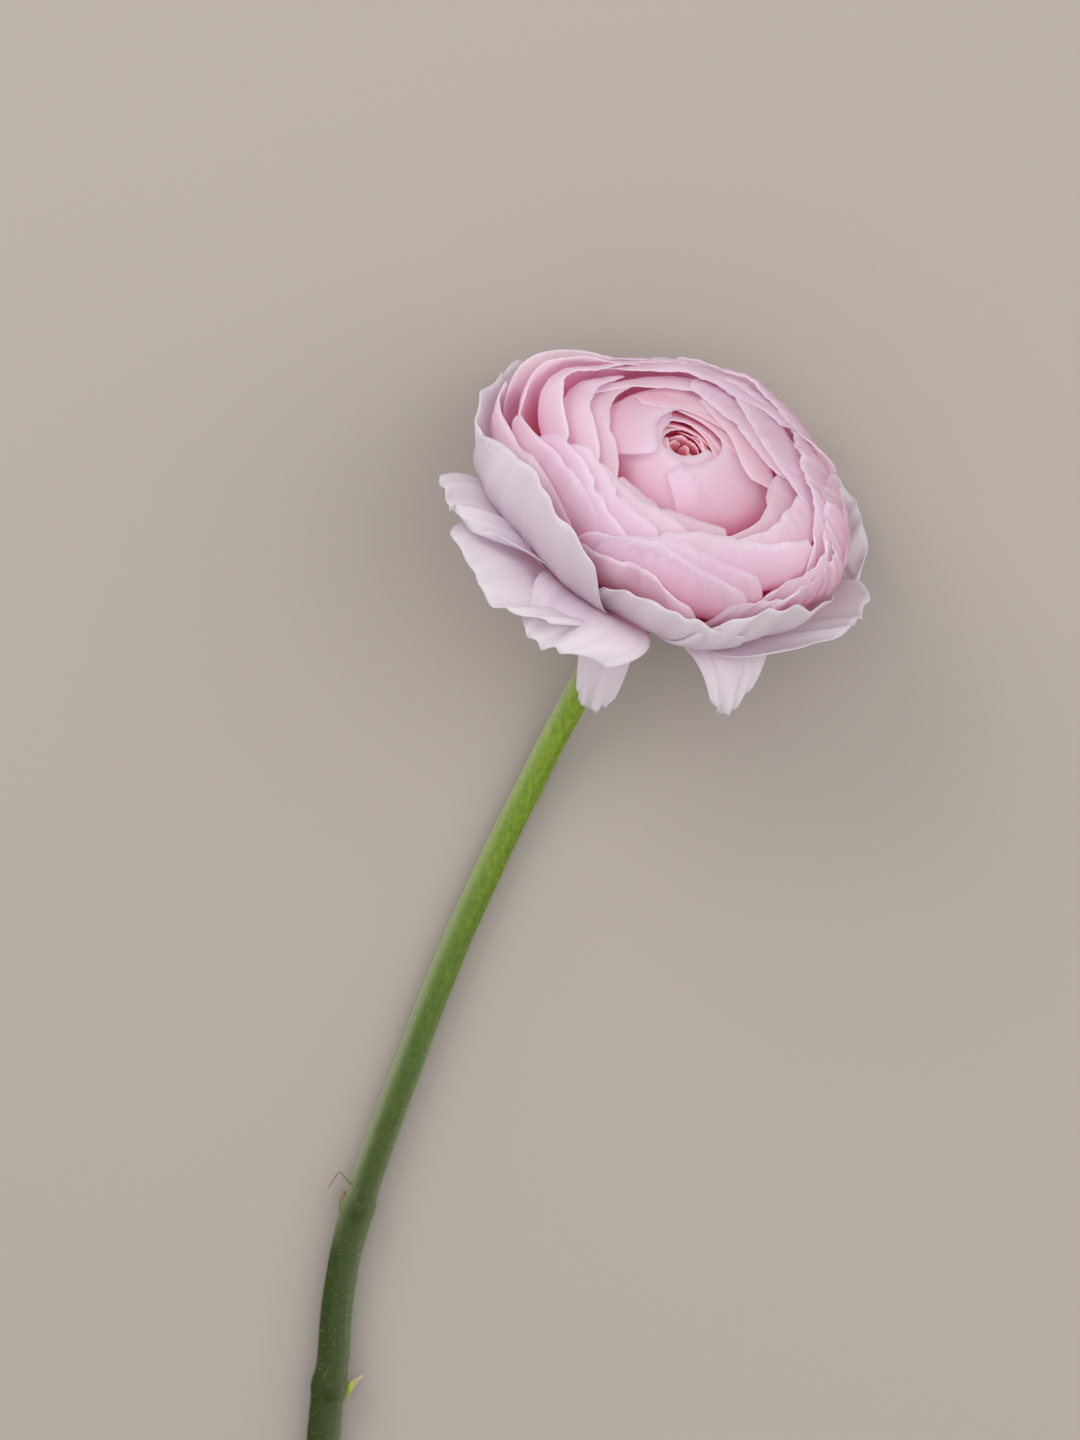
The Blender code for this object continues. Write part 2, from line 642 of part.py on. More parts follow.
def make_stub(name, root, tip, root_radius, tip_radius, home):
    """A short blunt cone."""
    along = tip - root
    mesh = bmesh.new()
    bmesh.ops.create_cone(mesh, cap_ends=True, segments=8, radius1=root_radius, radius2=tip_radius,
                          depth=along.length)
    turn = along.to_track_quat("Z", "Y").to_matrix().to_4x4()
    bmesh.ops.transform(mesh, matrix=turn, verts=mesh.verts)
    bmesh.ops.translate(mesh, vec=(root + tip) / 2, verts=mesh.verts)
    data = bpy.data.meshes.new(name)
    mesh.to_mesh(data)
    mesh.free()
    home.objects.link(bpy.data.objects.new(name, data))


def clear_scene():
    """Removes whatever the file opened with."""
    for item in list(bpy.data.objects):
        bpy.data.objects.remove(item)


def main():
    clear_scene()
    build_bloom()
    build_sepals()
    build_stem()


main()
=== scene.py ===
# Looks of the cut ranunculus: fine waved petals that glow where light comes through,
# green sepals, a ridged stem with small hairs, a plain surface and soft studio light.
# Metres. +Z is up from the surface, +Y runs along the stem towards the bloom.

import math
import random

import bpy
import numpy as np
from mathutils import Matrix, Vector


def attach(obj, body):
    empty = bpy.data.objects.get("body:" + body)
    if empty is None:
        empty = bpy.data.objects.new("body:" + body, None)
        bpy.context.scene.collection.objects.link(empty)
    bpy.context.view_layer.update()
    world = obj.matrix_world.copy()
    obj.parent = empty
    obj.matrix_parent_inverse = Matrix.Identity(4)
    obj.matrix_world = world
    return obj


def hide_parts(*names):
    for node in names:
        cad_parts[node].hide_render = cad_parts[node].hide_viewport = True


# The bloom's own frame: x, y across the bloom, z along its axis from the top of the stem
BLOOM_CENTRE = Vector((0.0156, 0.0840, 0.0310))
CENTRE_ABOVE_BASE = 0.0160
AXIS_LEAN = math.radians(25)
AXIS_RISE = math.radians(40)
AXIS_Z = Vector((math.sin(AXIS_LEAN) * math.cos(AXIS_RISE),
                 math.cos(AXIS_LEAN) * math.cos(AXIS_RISE),
                 math.sin(AXIS_RISE)))
AXIS_X = Vector((math.cos(AXIS_LEAN), -math.sin(AXIS_LEAN), 0))
AXIS_Y = AXIS_Z.cross(AXIS_X)
BLOOM_BASE = BLOOM_CENTRE - AXIS_Z * CENTRE_ABOVE_BASE

# A plain petal, for what a petal's own values leave open. Its side view: swell below the rim,
# and what changes towards the bloom's back and front. Its outline: corners rounded off, one
# corner lower, a notch, the taper, the widest place, how late it narrows, small teeth. Its bend:
# how flat and how far it wraps round the axis, and a bow to one side. Its edges: curled, tucked,
# flared, ruffled, waved and pleated. Its colour: tone from the inside out, and blush of coral.
PLAIN_PETAL = dict(
    swell=0.5, back=None, front_out=0.0, front_rise=0.0, front_lean=0.0,
    round=0.1, skew=0.0, notch=0.0, taper=0.7, widest=0.64, narrowing=2.4, nibble=0.0, nibbles=3.0,
    flat=1.05, wrap=105, bow=0.0,
    curl=0.0, tuck=0.0, flare=0.0, ruffle=0.0, waves=1.0, phase=0.0,
    wave_depth=0.0, wave_turns=2.0, pleat_depth=0.0, pleats=9.0, tone=0.0, blush=0.0)

# Petals of the bud and of the open rings: place from the inside out (0 to 1), rim radius,
# rim height, lean of the rim in degrees, width, swell of the profile below the rim
BUD_STAGES = (
    (0.0, 0.0018, 0.0300, 100, 0.0080, 0.50),
    (0.3, 0.0024, 0.0308, 126, 0.0130, 0.52),
    (0.6, 0.0034, 0.0316, 150, 0.0270, 0.68),
    (1.0, 0.0052, 0.0323, 165, 0.0440, 0.84),
)
RING_STAGES = (
    (0.0, 0.0128, 0.0306, 156, 0.0360, 0.62),
    (0.3, 0.0205, 0.0290, 134, 0.0400, 0.55),
    (0.6, 0.0288, 0.0252, 114, 0.0430, 0.52),
    (0.8, 0.0335, 0.0212, 96, 0.0450, 0.50),
    (1.0, 0.0382, 0.0155, 70, 0.0440, 0.50),
)
BUD_COUNT = 12
RING_COUNT = 30
BUD_SHARE = BUD_COUNT / (BUD_COUNT + RING_COUNT)
FIRST_TURN = 20
TURN_STEP = 141

# Direction in which a petal leaves its root, in degrees, and how it falls from the inside out
INNER_START = 74
START_FALL = 57
START_PACE = 1.4

# What differs from petal to petal, drawn in this order: a pair is a range, a longer row a choice
PETAL_SEED = 11
PLACE_VARIETY = {
    "turn": (-7, 7),
    "out": (-0.0003, 0.0003),
    "up": (-0.0012, 0.0010),
    "lean": (-5, 5),
}
BLADE_VARIETY = {
    "width": (0.86, 1.12),
    "round": (0.06, 0.13),
    "skew": (-0.04, 0.04),
    "notch": (0, 0, 0.012, 0.022),
    "taper": (0.66, 0.80),
    "flat": (1.0, 1.1),
    "tuck": (-0.0003, 0.0003),
    "flare": (-0.0005, 0.0002),
    "curl": (-0.0003, 0.0016),
    "ruffle": (0.0, 0.0005),
    "waves": (0.8, 1.8),
    "phase": (0, 2 * math.pi),
}

# Waves, pleats and small teeth of the rims, drawn apart from the rest: the open bloom's, the guards'
WAVE_SEED = 5
RIM_VARIETY = {
    "wave_depth": (0.0002, 0.0005),
    "wave_turns": (1.0, 2.0),
    "pleat_depth": (0.00003, 0.00008),
    "pleats": (9, 14),
    "nibble": (0.002, 0.006),
    "nibbles": (2.5, 5.5),
}
GUARD_RIM_VARIETY = {
    "wave_depth": (0.0006, 0.0011),
    "wave_turns": (1.6, 2.6),
    "pleat_depth": (0.00004, 0.00009),
    "pleats": (6, 9),
    "nibble": (0.006, 0.014),
    "nibbles": (2.5, 5.0),
}

# How loose the petals stand: in the bud, in the first ring, and how much more in the last.
# The bud's petals also taper less, and the rims curl only from some way out.
BUD_LOOSE = 0.25
FIRST_LOOSE = 0.4
MORE_LOOSE = 0.6
BUD_TAPER = 0.55
CURLED_FROM = 0.2

# Waves of the rims: how deep they are in the bud already, the side where they are deeper and
# more, and the side of the fine pleats, each side as its turn and its spread
BUD_WAVES = 0.15
WAVED_SIDE = (15, 55)
MORE_TURNS = 0.6
PLEATED_SIDE = (350, 60)
MORE_PLEATED = 0.00030

# Towards the back the bud opens a little, and the rings close over it like the scales of a ball:
# place, rim radius, rim height, lean, swell of the rings there
BACK_TURN = 65
BACK_SPREAD = 85
BACK_POWER = 4
BUD_BACK_OUT = 0.60
BACK_STAGES = (
    (0.0, 0.0100, 0.0325, 168, 0.80),
    (0.3, 0.0150, 0.0322, 164, 0.75),
    (0.6, 0.0205, 0.0310, 158, 0.70),
    (0.8, 0.0248, 0.0284, 148, 0.65),
    (1.0, 0.0290, 0.0240, 134, 0.60),
)

# Towards the front the first ring stands further out and lower, round the bud, and the last one
# closer, higher and more upright; the powers say how fast each fades from ring to ring
FRONT_TURN = 275
FRONT_SPREAD = 66
FRONT_OUT = 0.46
FRONT_DROP = 0.0020
FRONT_IN = 0.18
FRONT_RISE = 0.0045
FRONT_LEAN = 16
FIRST_POWER = 2
LAST_POWER = 1.5

# Crescents: thin petals nested behind the eye: turn in degrees, rim radius, rim height, lean, width
CRESCENTS = (
    (58, 0.0033, 0.0311, 142, 0.0120),
    (88, 0.0040, 0.0315, 150, 0.0150),
    (48, 0.0048, 0.0318, 155, 0.0170),
    (74, 0.0068, 0.0322, 162, 0.0230),
    (100, 0.0078, 0.0324, 164, 0.0260),
    (42, 0.0088, 0.0325, 166, 0.0280),
)
CRESCENT_BLADE = dict(start=INNER_START, swell=0.7, round=0.10, taper=0.4)
CRESCENT_BLUSH = 0.8

# Heart: small upright petals in the eye of the bud, the innermost closer in, every other one lower
HEART_COUNT = 4
HEART_RIM = (0.0007, 0.0284)
HEART_INNERMOST = 0.4
HEART_DROP = 0.0008
HEART_BLADE = dict(root=(0.0006, 0.0100), start=70, lean=98, swell=0.4, width=0.0032, round=0.1)

# Guard petals, round the outside: turn in degrees, rim radius, rim height, lean, width, start, taper
GUARDS = (
    (206, 0.0455, 0.0080, 0, 0.026, -12, 0.90),
    (222, 0.0385, 0.0225, 84, 0.046, -2, 0.45),
    (232, 0.0545, 0.0060, 0, 0.040, -10, 0.50),
    (256, 0.0515, 0.0015, -26, 0.033, -8, 0.72),
    (288, 0.0350, 0.0160, 66, 0.040, 1, 0.45),
    (328, 0.0340, 0.0190, 84, 0.037, 1, 0.60),
    (358, 0.0395, 0.0125, 42, 0.036, -6, 0.80),
    (45, 0.0405, 0.0140, 48, 0.042, 0, 0.60),
    (90, 0.0430, 0.0165, 50, 0.042, -3, 0.60),
    (135, 0.0405, 0.0125, 42, 0.042, -4, 0.60),
    (184, 0.0372, 0.0165, 66, 0.040, -6, 0.55),
)
GUARD_BLADE = dict(round=0.12, wrap=80, flat=1.15, ruffle=0.0006, tone=1.0)
GUARD_WAVES = 1.3
GUARD_WAVES_STEP = 0.17
GUARD_PHASE_STEP = 1.7

# Guards that hang down in front of the stem: the same values, and how far each bows to a side
HANGING_GUARDS = (
    (276, 0.0200, -0.0202, -100, 0.0138, -34, 0.75),
    (322, 0.0330, -0.0062, -80, 0.024, -12, 0.97),
)
HANGING_BLADE = dict(widest=0.40, narrowing=1.1, wave_depth=0.0004)
HANGING_BOWS = (-0.0020, 0.0042)

# Sepals: green, folded back along the top of the stem
SEPAL_COUNT = 5
SEPAL_FIRST_TURN = 12
SEPAL_BLADE = dict(root=(0.0046, -0.0017), start=-10, rim=(0.0085, -0.0120), lean=-95, width=0.0070,
                   taper=0.9, round=0.2, flat=1.3, wrap=60)

# Roots of the petals: foot and top of the cone that they grow from, how far down it the first
# one stands and over how much of it the rest follow, the guards' root, and how deep all sink in
CORE_FOOT = (0.0064, 0.0025)
CORE_TOP = (0.0026, 0.0082)
FIRST_ROOT = 0.04
ROOT_SPAN = 0.93
GUARD_ROOT = (0.0068, 0.0014)
ROOT_DEPTH = 0.0011

# Curve of a petal's side view: its straight start as a share of the chord, its steps, and the
# step that stands for the rim's ring
START_REACH = 0.55
CURVE_STEPS = 48
NEAR_RIM_STEP = CURVE_STEPS * 4 // 5
MIN_RADIUS = 0.001
MIN_NORMAL = 1e-9

# Outline of a petal: the corners' roundness, the notch's width, how much of the rim's cut shows
# at the root, the claw's share of the width, and how the blade widens from it
CORNER_POWER = 2.6
NOTCH_WIDTH = 0.12
ROOT_CUT = 0.2
CLAW = 0.1
WIDEN_POWER = 1.1

# Edges of a petal: where the rim curls and how far it drops there, how late the edges tuck in,
# and how the ruffle rises towards the rim and moves up and down
CURL_FROM = 0.84
CURL_DROP = 0.3
TUCK_POWER = 1.4
RUFFLE_POWER = 4
RUFFLE_LIFT = 0.5
RUFFLE_BEAT = 1.3

# Waves of the rims: share along the petal where they begin, the depth, turns and phase of the
# smaller wave beside the first one, and how soon the pleats rise from the root
WAVE_FROM = 0.45
SMALL_WAVE = (0.45, 2.3, 2.1)
PLEAT_PACE = 1.6

# Room between the petals and the surface
PETAL_FLOOR = 0.0018
GUARD_FLOOR = 0.0

# The bloom's uneven shape: pulled in at the front, raised in a lobe at the back left
OUTLINE = ((245, 62, -0.30), (173, 26, 0.18), (52, 32, 0.08), (113, 22, 0.09))
OUTLINE_REACH = 0.030
EYE_SHIFT = (-0.0025, -0.0018)
EYE_REACH = 0.020
EYE_FOOT = 0.014
EYE_TOP = 0.030
LOBE_TURN = 163
LOBE_SPREAD = 28
LOBE_RISE = 0.0055
LOBE_FROM = 0.018
LOBE_TO = 0.036

# Slow sway of the petals: depth, length, where it reaches its depth, and for x, y and z in turn
# how much each of x, y and z adds to the wave, and the wave's phase
SWAY = 0.0012
SWAY_LENGTH = 0.042
SWAY_REACH = 0.02
SWAY_WAVES = (
    ((0.0, 1.0, 0.7), 0.0),
    ((0.8, 0.0, 1.0), 2.0),
    ((0.9, -0.6, 0.0), 4.1),
)

# Thickness of a fine petal and of a sepal at the root and at the rim, and the steps of each mesh
PETAL_THICK = (0.00045, 0.00016)
SEPAL_THICK = (0.0009, 0.0003)
HEART_GRID = (14, 8)
PETAL_GRID = (24, 44)
GUARD_GRID = (28, 34)
SEPAL_GRID = (16, 10)

# Share of the petals, from the inside out, over which the coral of the eye fades
BLUSH_UPTO = 0.16

# Stem: where its centre line runs over the surface, from under the bloom to the cut end
STEM_ROUTE = (
    (0.0082, 0.0668), (0.0028, 0.0564), (-0.0030, 0.0457), (-0.0140, 0.0241),
    (-0.0238, 0.0025), (-0.0321, -0.0191), (-0.0400, -0.0407), (-0.0432, -0.0515),
    (-0.0450, -0.0628), (-0.0459, -0.0735), (-0.0472, -0.0837), (-0.0496, -0.1103),
)
STEM_RADII = ((0.0, 0.0042), (0.006, 0.0023), (0.04, 0.0024), (0.12, 0.0027), (0.175, 0.0031),
              (0.20, 0.0034))
STEM_TOP = 0.0006
STEM_DROP = 0.060
STEM_PRESS = 0.0001
CUT_SLOPE = 0.8
NODE_PLACES = (-0.0443, -0.0777)
NODE_SWELL = 0.0004
NODE_LENGTH = 0.0018
STEM_STEPS = 24
STEM_SIDES = 48

# Relief of the stem: shallow ribs that twist a little, a coat of down, slow unevenness along
# and round it, a shoulder under the leaf stub, and the hollow of the cut end
RIB_COUNT = 9
RIB_TWIST = 9
RIB_DEPTH = 0.00006
DOWN_DEPTH = 0.00018
UNEVEN_DEPTH = 0.00008
UNEVEN_ALONG = (210, 130)
UNEVEN_ROUND = (2, -1)
SHOULDER_PLACE = -0.0475
SHOULDER_LENGTH = 0.0045
SHOULDER_OUT = 0.00045
STUB_SIDE = 0.9 * math.pi
HOLLOW_SHARE = 0.55
HOLLOW_DEPTH = 0.003

# Stubs left by a leaf and a side bud, and a dry thread: their routes and end radii
LEAF_STUB = (((-0.0432, -0.0495, 0.0032), (-0.0437, -0.0455, 0.0037), (-0.0441, -0.0431, 0.0041),
              (-0.0438, -0.0414, 0.0043)), (0.0015, 0.0003))
BUD_STUB = (((-0.0440, -0.0795, 0.0034), (-0.0428, -0.0781, 0.0037), (-0.0416, -0.0769, 0.0040),
             (-0.0402, -0.0758, 0.0042)), (0.0013, 0.0003))
THREAD = (((-0.0421, -0.0405, 0.0045), (-0.0433, -0.0392, 0.0050), (-0.0445, -0.0380, 0.0052),
           (-0.0455, -0.0392, 0.0050), (-0.0466, -0.0410, 0.0047)), (0.00020, 0.00013))
STUB_TAPER = 0.7
STUB_STEPS = 8
STUB_SIDES = 14

# Hairs of the stem: how many, how long, how thick at the root, how far they lean back and aside,
# between which half turns they stand round the stem, and how far each is moved along it
HAIR_SEED = 23
HAIR_COUNT = 1500
HAIR_LENGTH = (0.0004, 0.0011)
HAIR_RADIUS = 0.000025
HAIR_LEAN = 0.7
HAIR_ASIDE = 0.3
HAIR_ROUND = (-0.15, 1.15)
HAIR_SHIFT = 0.0004

# Painted highlight, a pale sheen painted along the stem's lit sides: turn round the stem, places along it
# and the amount at each, how narrow each band is, its share of the colour, and its own colour
PAINTED_HIGHLIGHT_SIDES = (
    (10, (0.0, 0.655, 0.715, 1.0), (1.0, 1.0, 0.0, 0.0)),
    (172, (0.0, 0.35, 0.50, 1.0), (0.0, 0.0, 0.45, 0.45)),
)
HIGHLIGHT_POWER = 3
HIGHLIGHT_SHARE = 0.5
HIGHLIGHT_COLOUR = (0.44, 0.49, 0.31)

# Surface of the petals' tissue, and how much of the back's colour an outer face takes
PETAL_SURFACE = {"Roughness": 0.55, "Specular IOR Level": 0.3, "Sheen Weight": 0.15, "Sheen Roughness": 0.5}
BACK_SHARE = 0.12

# Veins: how many lie across a petal, how far apart two petals' patterns lie, fineness, shade, relief
VEINS_ACROSS = 26.0
VEINS_APART = 97.0
VEIN_DETAIL = 3.0
VEIN_SHADE = ((0.30, (0.97, 0.79, 0.85)), (0.70, (1.0, 1.0, 1.0)))
VEIN_RELIEF = (0.12, 0.0003)

# Colours of the eye's blush and of the guard petals, from root to rim: place and colour
CORAL = ((0.40, (0.998, 0.30, 0.34)), (0.86, (0.998, 0.56, 0.61)), (1.0, (0.985, 0.84, 0.87)))
LILAC = ((0.2, (0.94, 0.66, 0.76)), (0.6, (0.86, 0.80, 0.86)), (1.0, (0.83, 0.83, 0.85)))

# Tissue of each kind of petal: colours from root to rim of the innermost and the outermost one,
# share of light let through, depth of the veins, colour of the back and tint of light let through
PETAL_LOOKS = {
    "heart": dict(
        inner=((0.0, (0.998, 0.20, 0.20)), (0.6, (0.998, 0.22, 0.24)), (1.0, (0.99, 0.30, 0.33))),
        outer=((0.0, (0.998, 0.20, 0.20)), (1.0, (0.99, 0.30, 0.33))),
        glow=0.6, vein_share=0.3, back=(0.99, 0.36, 0.38), passing=(1.0, 0.85, 0.85)),
    "petal": dict(
        inner=((0.38, (0.985, 0.34, 0.46)), (0.60, (0.947, 0.81, 0.885)),
               (0.84, (0.948, 0.915, 0.953)), (1.0, (0.955, 0.95, 0.975))),
        outer=((0.50, (0.985, 0.27, 0.39)), (0.72, (0.948, 0.755, 0.85)),
               (0.89, (0.955, 0.905, 0.945)), (1.0, (0.955, 0.95, 0.975))),
        glow=0.78, vein_share=0.22, back=(0.955, 0.915, 0.955), passing=(1.0, 0.96, 0.982)),
    "guard": dict(
        inner=LILAC, outer=LILAC,
        glow=0.50, vein_share=0.3, back=(0.86, 0.85, 0.88), passing=(0.98, 0.92, 0.96)),
    "sepal": dict(
        inner=((0.0, (0.16, 0.25, 0.05)), (1.0, (0.26, 0.36, 0.10))),
        outer=((0.0, (0.16, 0.25, 0.05)), (1.0, (0.30, 0.36, 0.14))),
        glow=0.2, vein_share=0.8, back=(0.24, 0.32, 0.12), passing=(0.9, 1.0, 0.6)),
}

# Surface of the green tissue, its mottling and its fine streaks along the stem, and its relief
GREEN_SURFACE = {
    "Specular IOR Level": 0.22,
    "Sheen Weight": 0.5,
    "Sheen Roughness": 0.22,
    "Sheen Tint": (0.92, 1.0, 0.75, 1),
    "Subsurface Weight": 0.15,
    "Subsurface Scale": 0.002,
}
MOTTLE_SCALE = 900.0
MOTTLE_DETAIL = 4.0
MOTTLE_SHARE = 0.7
MOTTLE_FROM = 0.35
MOTTLE_UPTO = 0.60
STREAK_SCALE = (1400.0, 130.0, 1400.0)
STREAK_DETAIL = 2.0
STREAK_SHARE = 0.8
STREAK_SHADE = ((0.35, (0.80, 0.84, 0.72)), (0.65, (1.08, 1.06, 1.05)))
GREEN_RELIEF = (0.2, 0.0002)

# Tissue of the stem and of what it carries: colours along the piece, dark of the mottling, roughness
STEM_LOOKS = {
    "stem_tissue": dict(
        stops=((0.0, (0.23, 0.33, 0.030)), (0.30, (0.130, 0.205, 0.010)), (0.50, (0.052, 0.095, 0.002)),
               (0.66, (0.028, 0.050, 0.002)), (1.0, (0.022, 0.036, 0.004))),
        mottle_dark=(0.62, 0.70, 0.50), roughness=0.40),
    "leaf_stub_tissue": dict(
        stops=((0.0, (0.06, 0.10, 0.02)), (0.55, (0.12, 0.13, 0.05)), (0.8, (0.30, 0.19, 0.15)),
               (1.0, (0.22, 0.13, 0.09))),
        mottle_dark=(0.7, 0.7, 0.6), roughness=0.6),
    "bud_stub_tissue": dict(
        stops=((0.0, (0.07, 0.11, 0.02)), (0.45, (0.30, 0.38, 0.03)), (0.75, (0.45, 0.33, 0.24)),
               (1.0, (0.42, 0.28, 0.24))),
        mottle_dark=(0.8, 0.8, 0.6), roughness=0.6),
    "thread_tissue": dict(
        stops=((0.0, (0.12, 0.09, 0.04)), (1.0, (0.22, 0.18, 0.08))),
        mottle_dark=(0.8, 0.8, 0.7), roughness=0.7),
    "hair_tissue": dict(
        stops=((0.0, (0.45, 0.50, 0.32)), (1.0, (0.45, 0.50, 0.32))),
        mottle_dark=(0.9, 0.9, 0.9), roughness=0.6),
}

# The plain surface under the flower, and the soft light of the room
GROUND_HALF = 1.2
GROUND_SURFACE = {"Base Color": (0.342, 0.309, 0.276, 1), "Roughness": 0.95, "Specular IOR Level": 0.1}
ROOM_LIGHT = {"Color": (1, 0.98, 0.99, 1), "Strength": 0.80}

# Lamps: name, place, the point that it shines at, size, power, colour
LAMPS = (
    ("key", (-0.48, 0.60, 0.52), (0.02, 0.06, 0.03), 0.5, 3.4, (1, 0.99, 0.98)),
    ("fill", (0.60, 0.12, 0.60), (0.02, 0.08, 0.03), 0.8, 2.7, (1, 0.99, 1)),
    ("front", (0.0, 0.0, 1.0), (0.02, 0.08, 0.03), 0.8, 2.2, (1, 1, 1)),
)

# Sockets of a colour mix, which share their names with others: share, both colours, and result
MIX_SHARE = 0
MIX_FIRST = 6
MIX_SECOND = 7
MIX_RESULT = 2

# Light passes many times from petal to petal, which makes the gaps between them a deep bright pink
LIGHT_PASSES = 48

# Camera: metres a pixel at the bloom's height, the picture's height in pixels, the point that
# the camera stands over, its own height, the bloom's, and the sensor's width in millimetres
PIXEL = 0.00018
PICTURE_HEIGHT = 1440
PICTURE_CENTRE = (-0.0074, 0.0457)
CAMERA_HEIGHT = 0.9
BLOOM_HEIGHT = 0.03
SENSOR_WIDTH = 36


def smooth_step(value):
    """Rises smoothly from 0 to 1."""
    held = np.clip(value, 0, 1)
    return held * held * (3 - 2 * held)


def bump(turn, middle, spread, power=2):
    """1 at one turn round the axis, falling off to both sides, more squarely with a higher power."""
    away = (turn - middle + 180) % 360 - 180
    return np.exp(-np.abs(away / spread) ** power)


def to_world(points):
    """Points of the bloom's frame in world metres."""
    axes = np.array([AXIS_X, AXIS_Y, AXIS_Z])
    return points @ axes + np.array(BLOOM_BASE)


def draw_values(rng, table):
    """A random value for each row of a table, in its order."""
    return {name: rng.uniform(*row) if len(row) == 2 else rng.choice(row) for name, row in table.items()}


def profile(root, start, radius, height, lean, swell):
    """Side views of a petal as curves from root to rim, one for each rim: length, radius and height."""
    root = np.array(root)
    rim = np.stack([radius, height], axis=-1)
    chord = np.linalg.norm(rim - root, axis=-1, keepdims=True)
    leave = root + START_REACH * chord * np.array([math.cos(start), math.sin(start)])
    arrive = rim - swell[:, None] * chord * np.stack([np.cos(lean), np.sin(lean)], axis=-1)
    t = np.linspace(0, 1, CURVE_STEPS + 1)[:, None, None]
    rest = 1 - t
    curve = rest ** 3 * root + 3 * rest ** 2 * t * leave + 3 * rest * t * t * arrive + t ** 3 * rim
    steps = np.linalg.norm(np.diff(curve, axis=0), axis=-1)
    length = np.concatenate([np.zeros((1, len(radius))), np.cumsum(steps, axis=0)])
    return length, curve[..., 0], curve[..., 1]


def rims_at(petal, turns):
    """Rim radius, rim height, lean and swell of a petal at each turn round the axis."""
    values = np.array([*petal["rim"], petal["lean"], petal["swell"]])[:, None] * np.ones(len(turns))
    if petal["back"] is not None:
        back = bump(turns, BACK_TURN, BACK_SPREAD, BACK_POWER)
        values += (np.array(petal["back"])[:, None] - values) * back
    front = bump(turns, FRONT_TURN, FRONT_SPREAD)
    radius = values[0] * (1 + petal["front_out"] * front)
    height = values[1] + petal["front_rise"] * front
    return radius, height, np.radians(values[2] + petal["front_lean"] * front), values[3]


def columns_between(places, lengths, values):
    """The values at given places along each column's own curve."""
    return np.stack([np.interp(places[:, column], lengths[:, column], values[:, column])
                     for column in range(places.shape[1])], axis=-1)


def rim_cut(petal, across):
    """Share of the length that the rim lacks: round corners, a shallow notch and small teeth."""
    cut = petal["round"] * np.abs(across) ** CORNER_POWER + petal["skew"] * across
    cut = cut + petal["notch"] * np.exp(-(across / NOTCH_WIDTH) ** 2)
    return cut + petal["nibble"] * (np.sin(petal["nibbles"] * across * math.pi + petal["phase"]) + 1)


def half_width(petal, t):
    """Half a petal's width along it: from a narrow claw to the widest place, then tapered."""
    widest = petal["widest"]
    widened = CLAW + (1 - CLAW) * np.sin(np.clip(t / widest, 0, 1) * math.pi / 2) ** WIDEN_POWER
    narrowed = np.clip((t - widest) / (1 - widest), 0, 1) ** petal["narrowing"]
    return 0.5 * petal["width"] * widened * np.sqrt(1 - petal["taper"] * narrowed)


def petal_sheet(petal, rows, columns):
    """A petal's middle surface as a grid of points, root row first, in the bloom's frame."""
    start = math.radians(petal["start"])
    up = np.linspace(0, 1, rows + 1)[:, None]
    across = np.linspace(-1, 1, columns + 1)[None, :]
    most = math.radians(petal["wrap"])
    # each column has its own side view, after the turn that it has near the rim
    middle = profile(petal["root"], start, *rims_at(petal, np.array([petal["turn"]])))
    near_rim = max(middle[1][NEAR_RIM_STEP, 0], MIN_RADIUS) * petal["flat"]
    turned = most * np.tanh(across[0] * 0.5 * petal["width"] / (near_rim * most))
    turns = petal["turn"] + np.degrees(turned)
    length_at, radius_at, height_at = profile(petal["root"], start, *rims_at(petal, turns))
    along = up * length_at[-1] * (1 - rim_cut(petal, across) * (ROOT_CUT + (1 - ROOT_CUT) * up))
    t = along / length_at[-1]
    # the blade wraps round the bloom's axis, a little flatter than the ring it stands in
    radius = np.maximum(columns_between(along, length_at, radius_at), MIN_RADIUS)
    reach = radius * petal["flat"]
    turned = most * np.tanh(across * half_width(petal, t) / (reach * most))
    out = radius - reach + reach * np.cos(turned)
    side = reach * np.sin(turned) + petal["bow"] * np.sin(t * math.pi)
    # the edges stand in or out, the rim curls and waves
    rim_curl = petal["curl"] * np.clip((t - CURL_FROM) / (1 - CURL_FROM), 0, 1) ** 2
    out = out + petal["tuck"] * across * t ** TUCK_POWER + petal["flare"] * across ** 2 * t ** 2 + rim_curl
    wave = petal["waves"] * across * math.pi + petal["phase"]
    out = out + petal["ruffle"] * np.sin(wave) * t ** RUFFLE_POWER
    height = columns_between(along, length_at, height_at) - CURL_DROP * rim_curl
    height = height + RUFFLE_LIFT * petal["ruffle"] * np.cos(RUFFLE_BEAT * wave) * t ** RUFFLE_POWER
    turn = math.radians(petal["turn"])
    x = out * math.cos(turn) - side * math.sin(turn)
    y = out * math.sin(turn) + side * math.cos(turn)
    return np.stack([x, y, height], axis=-1)


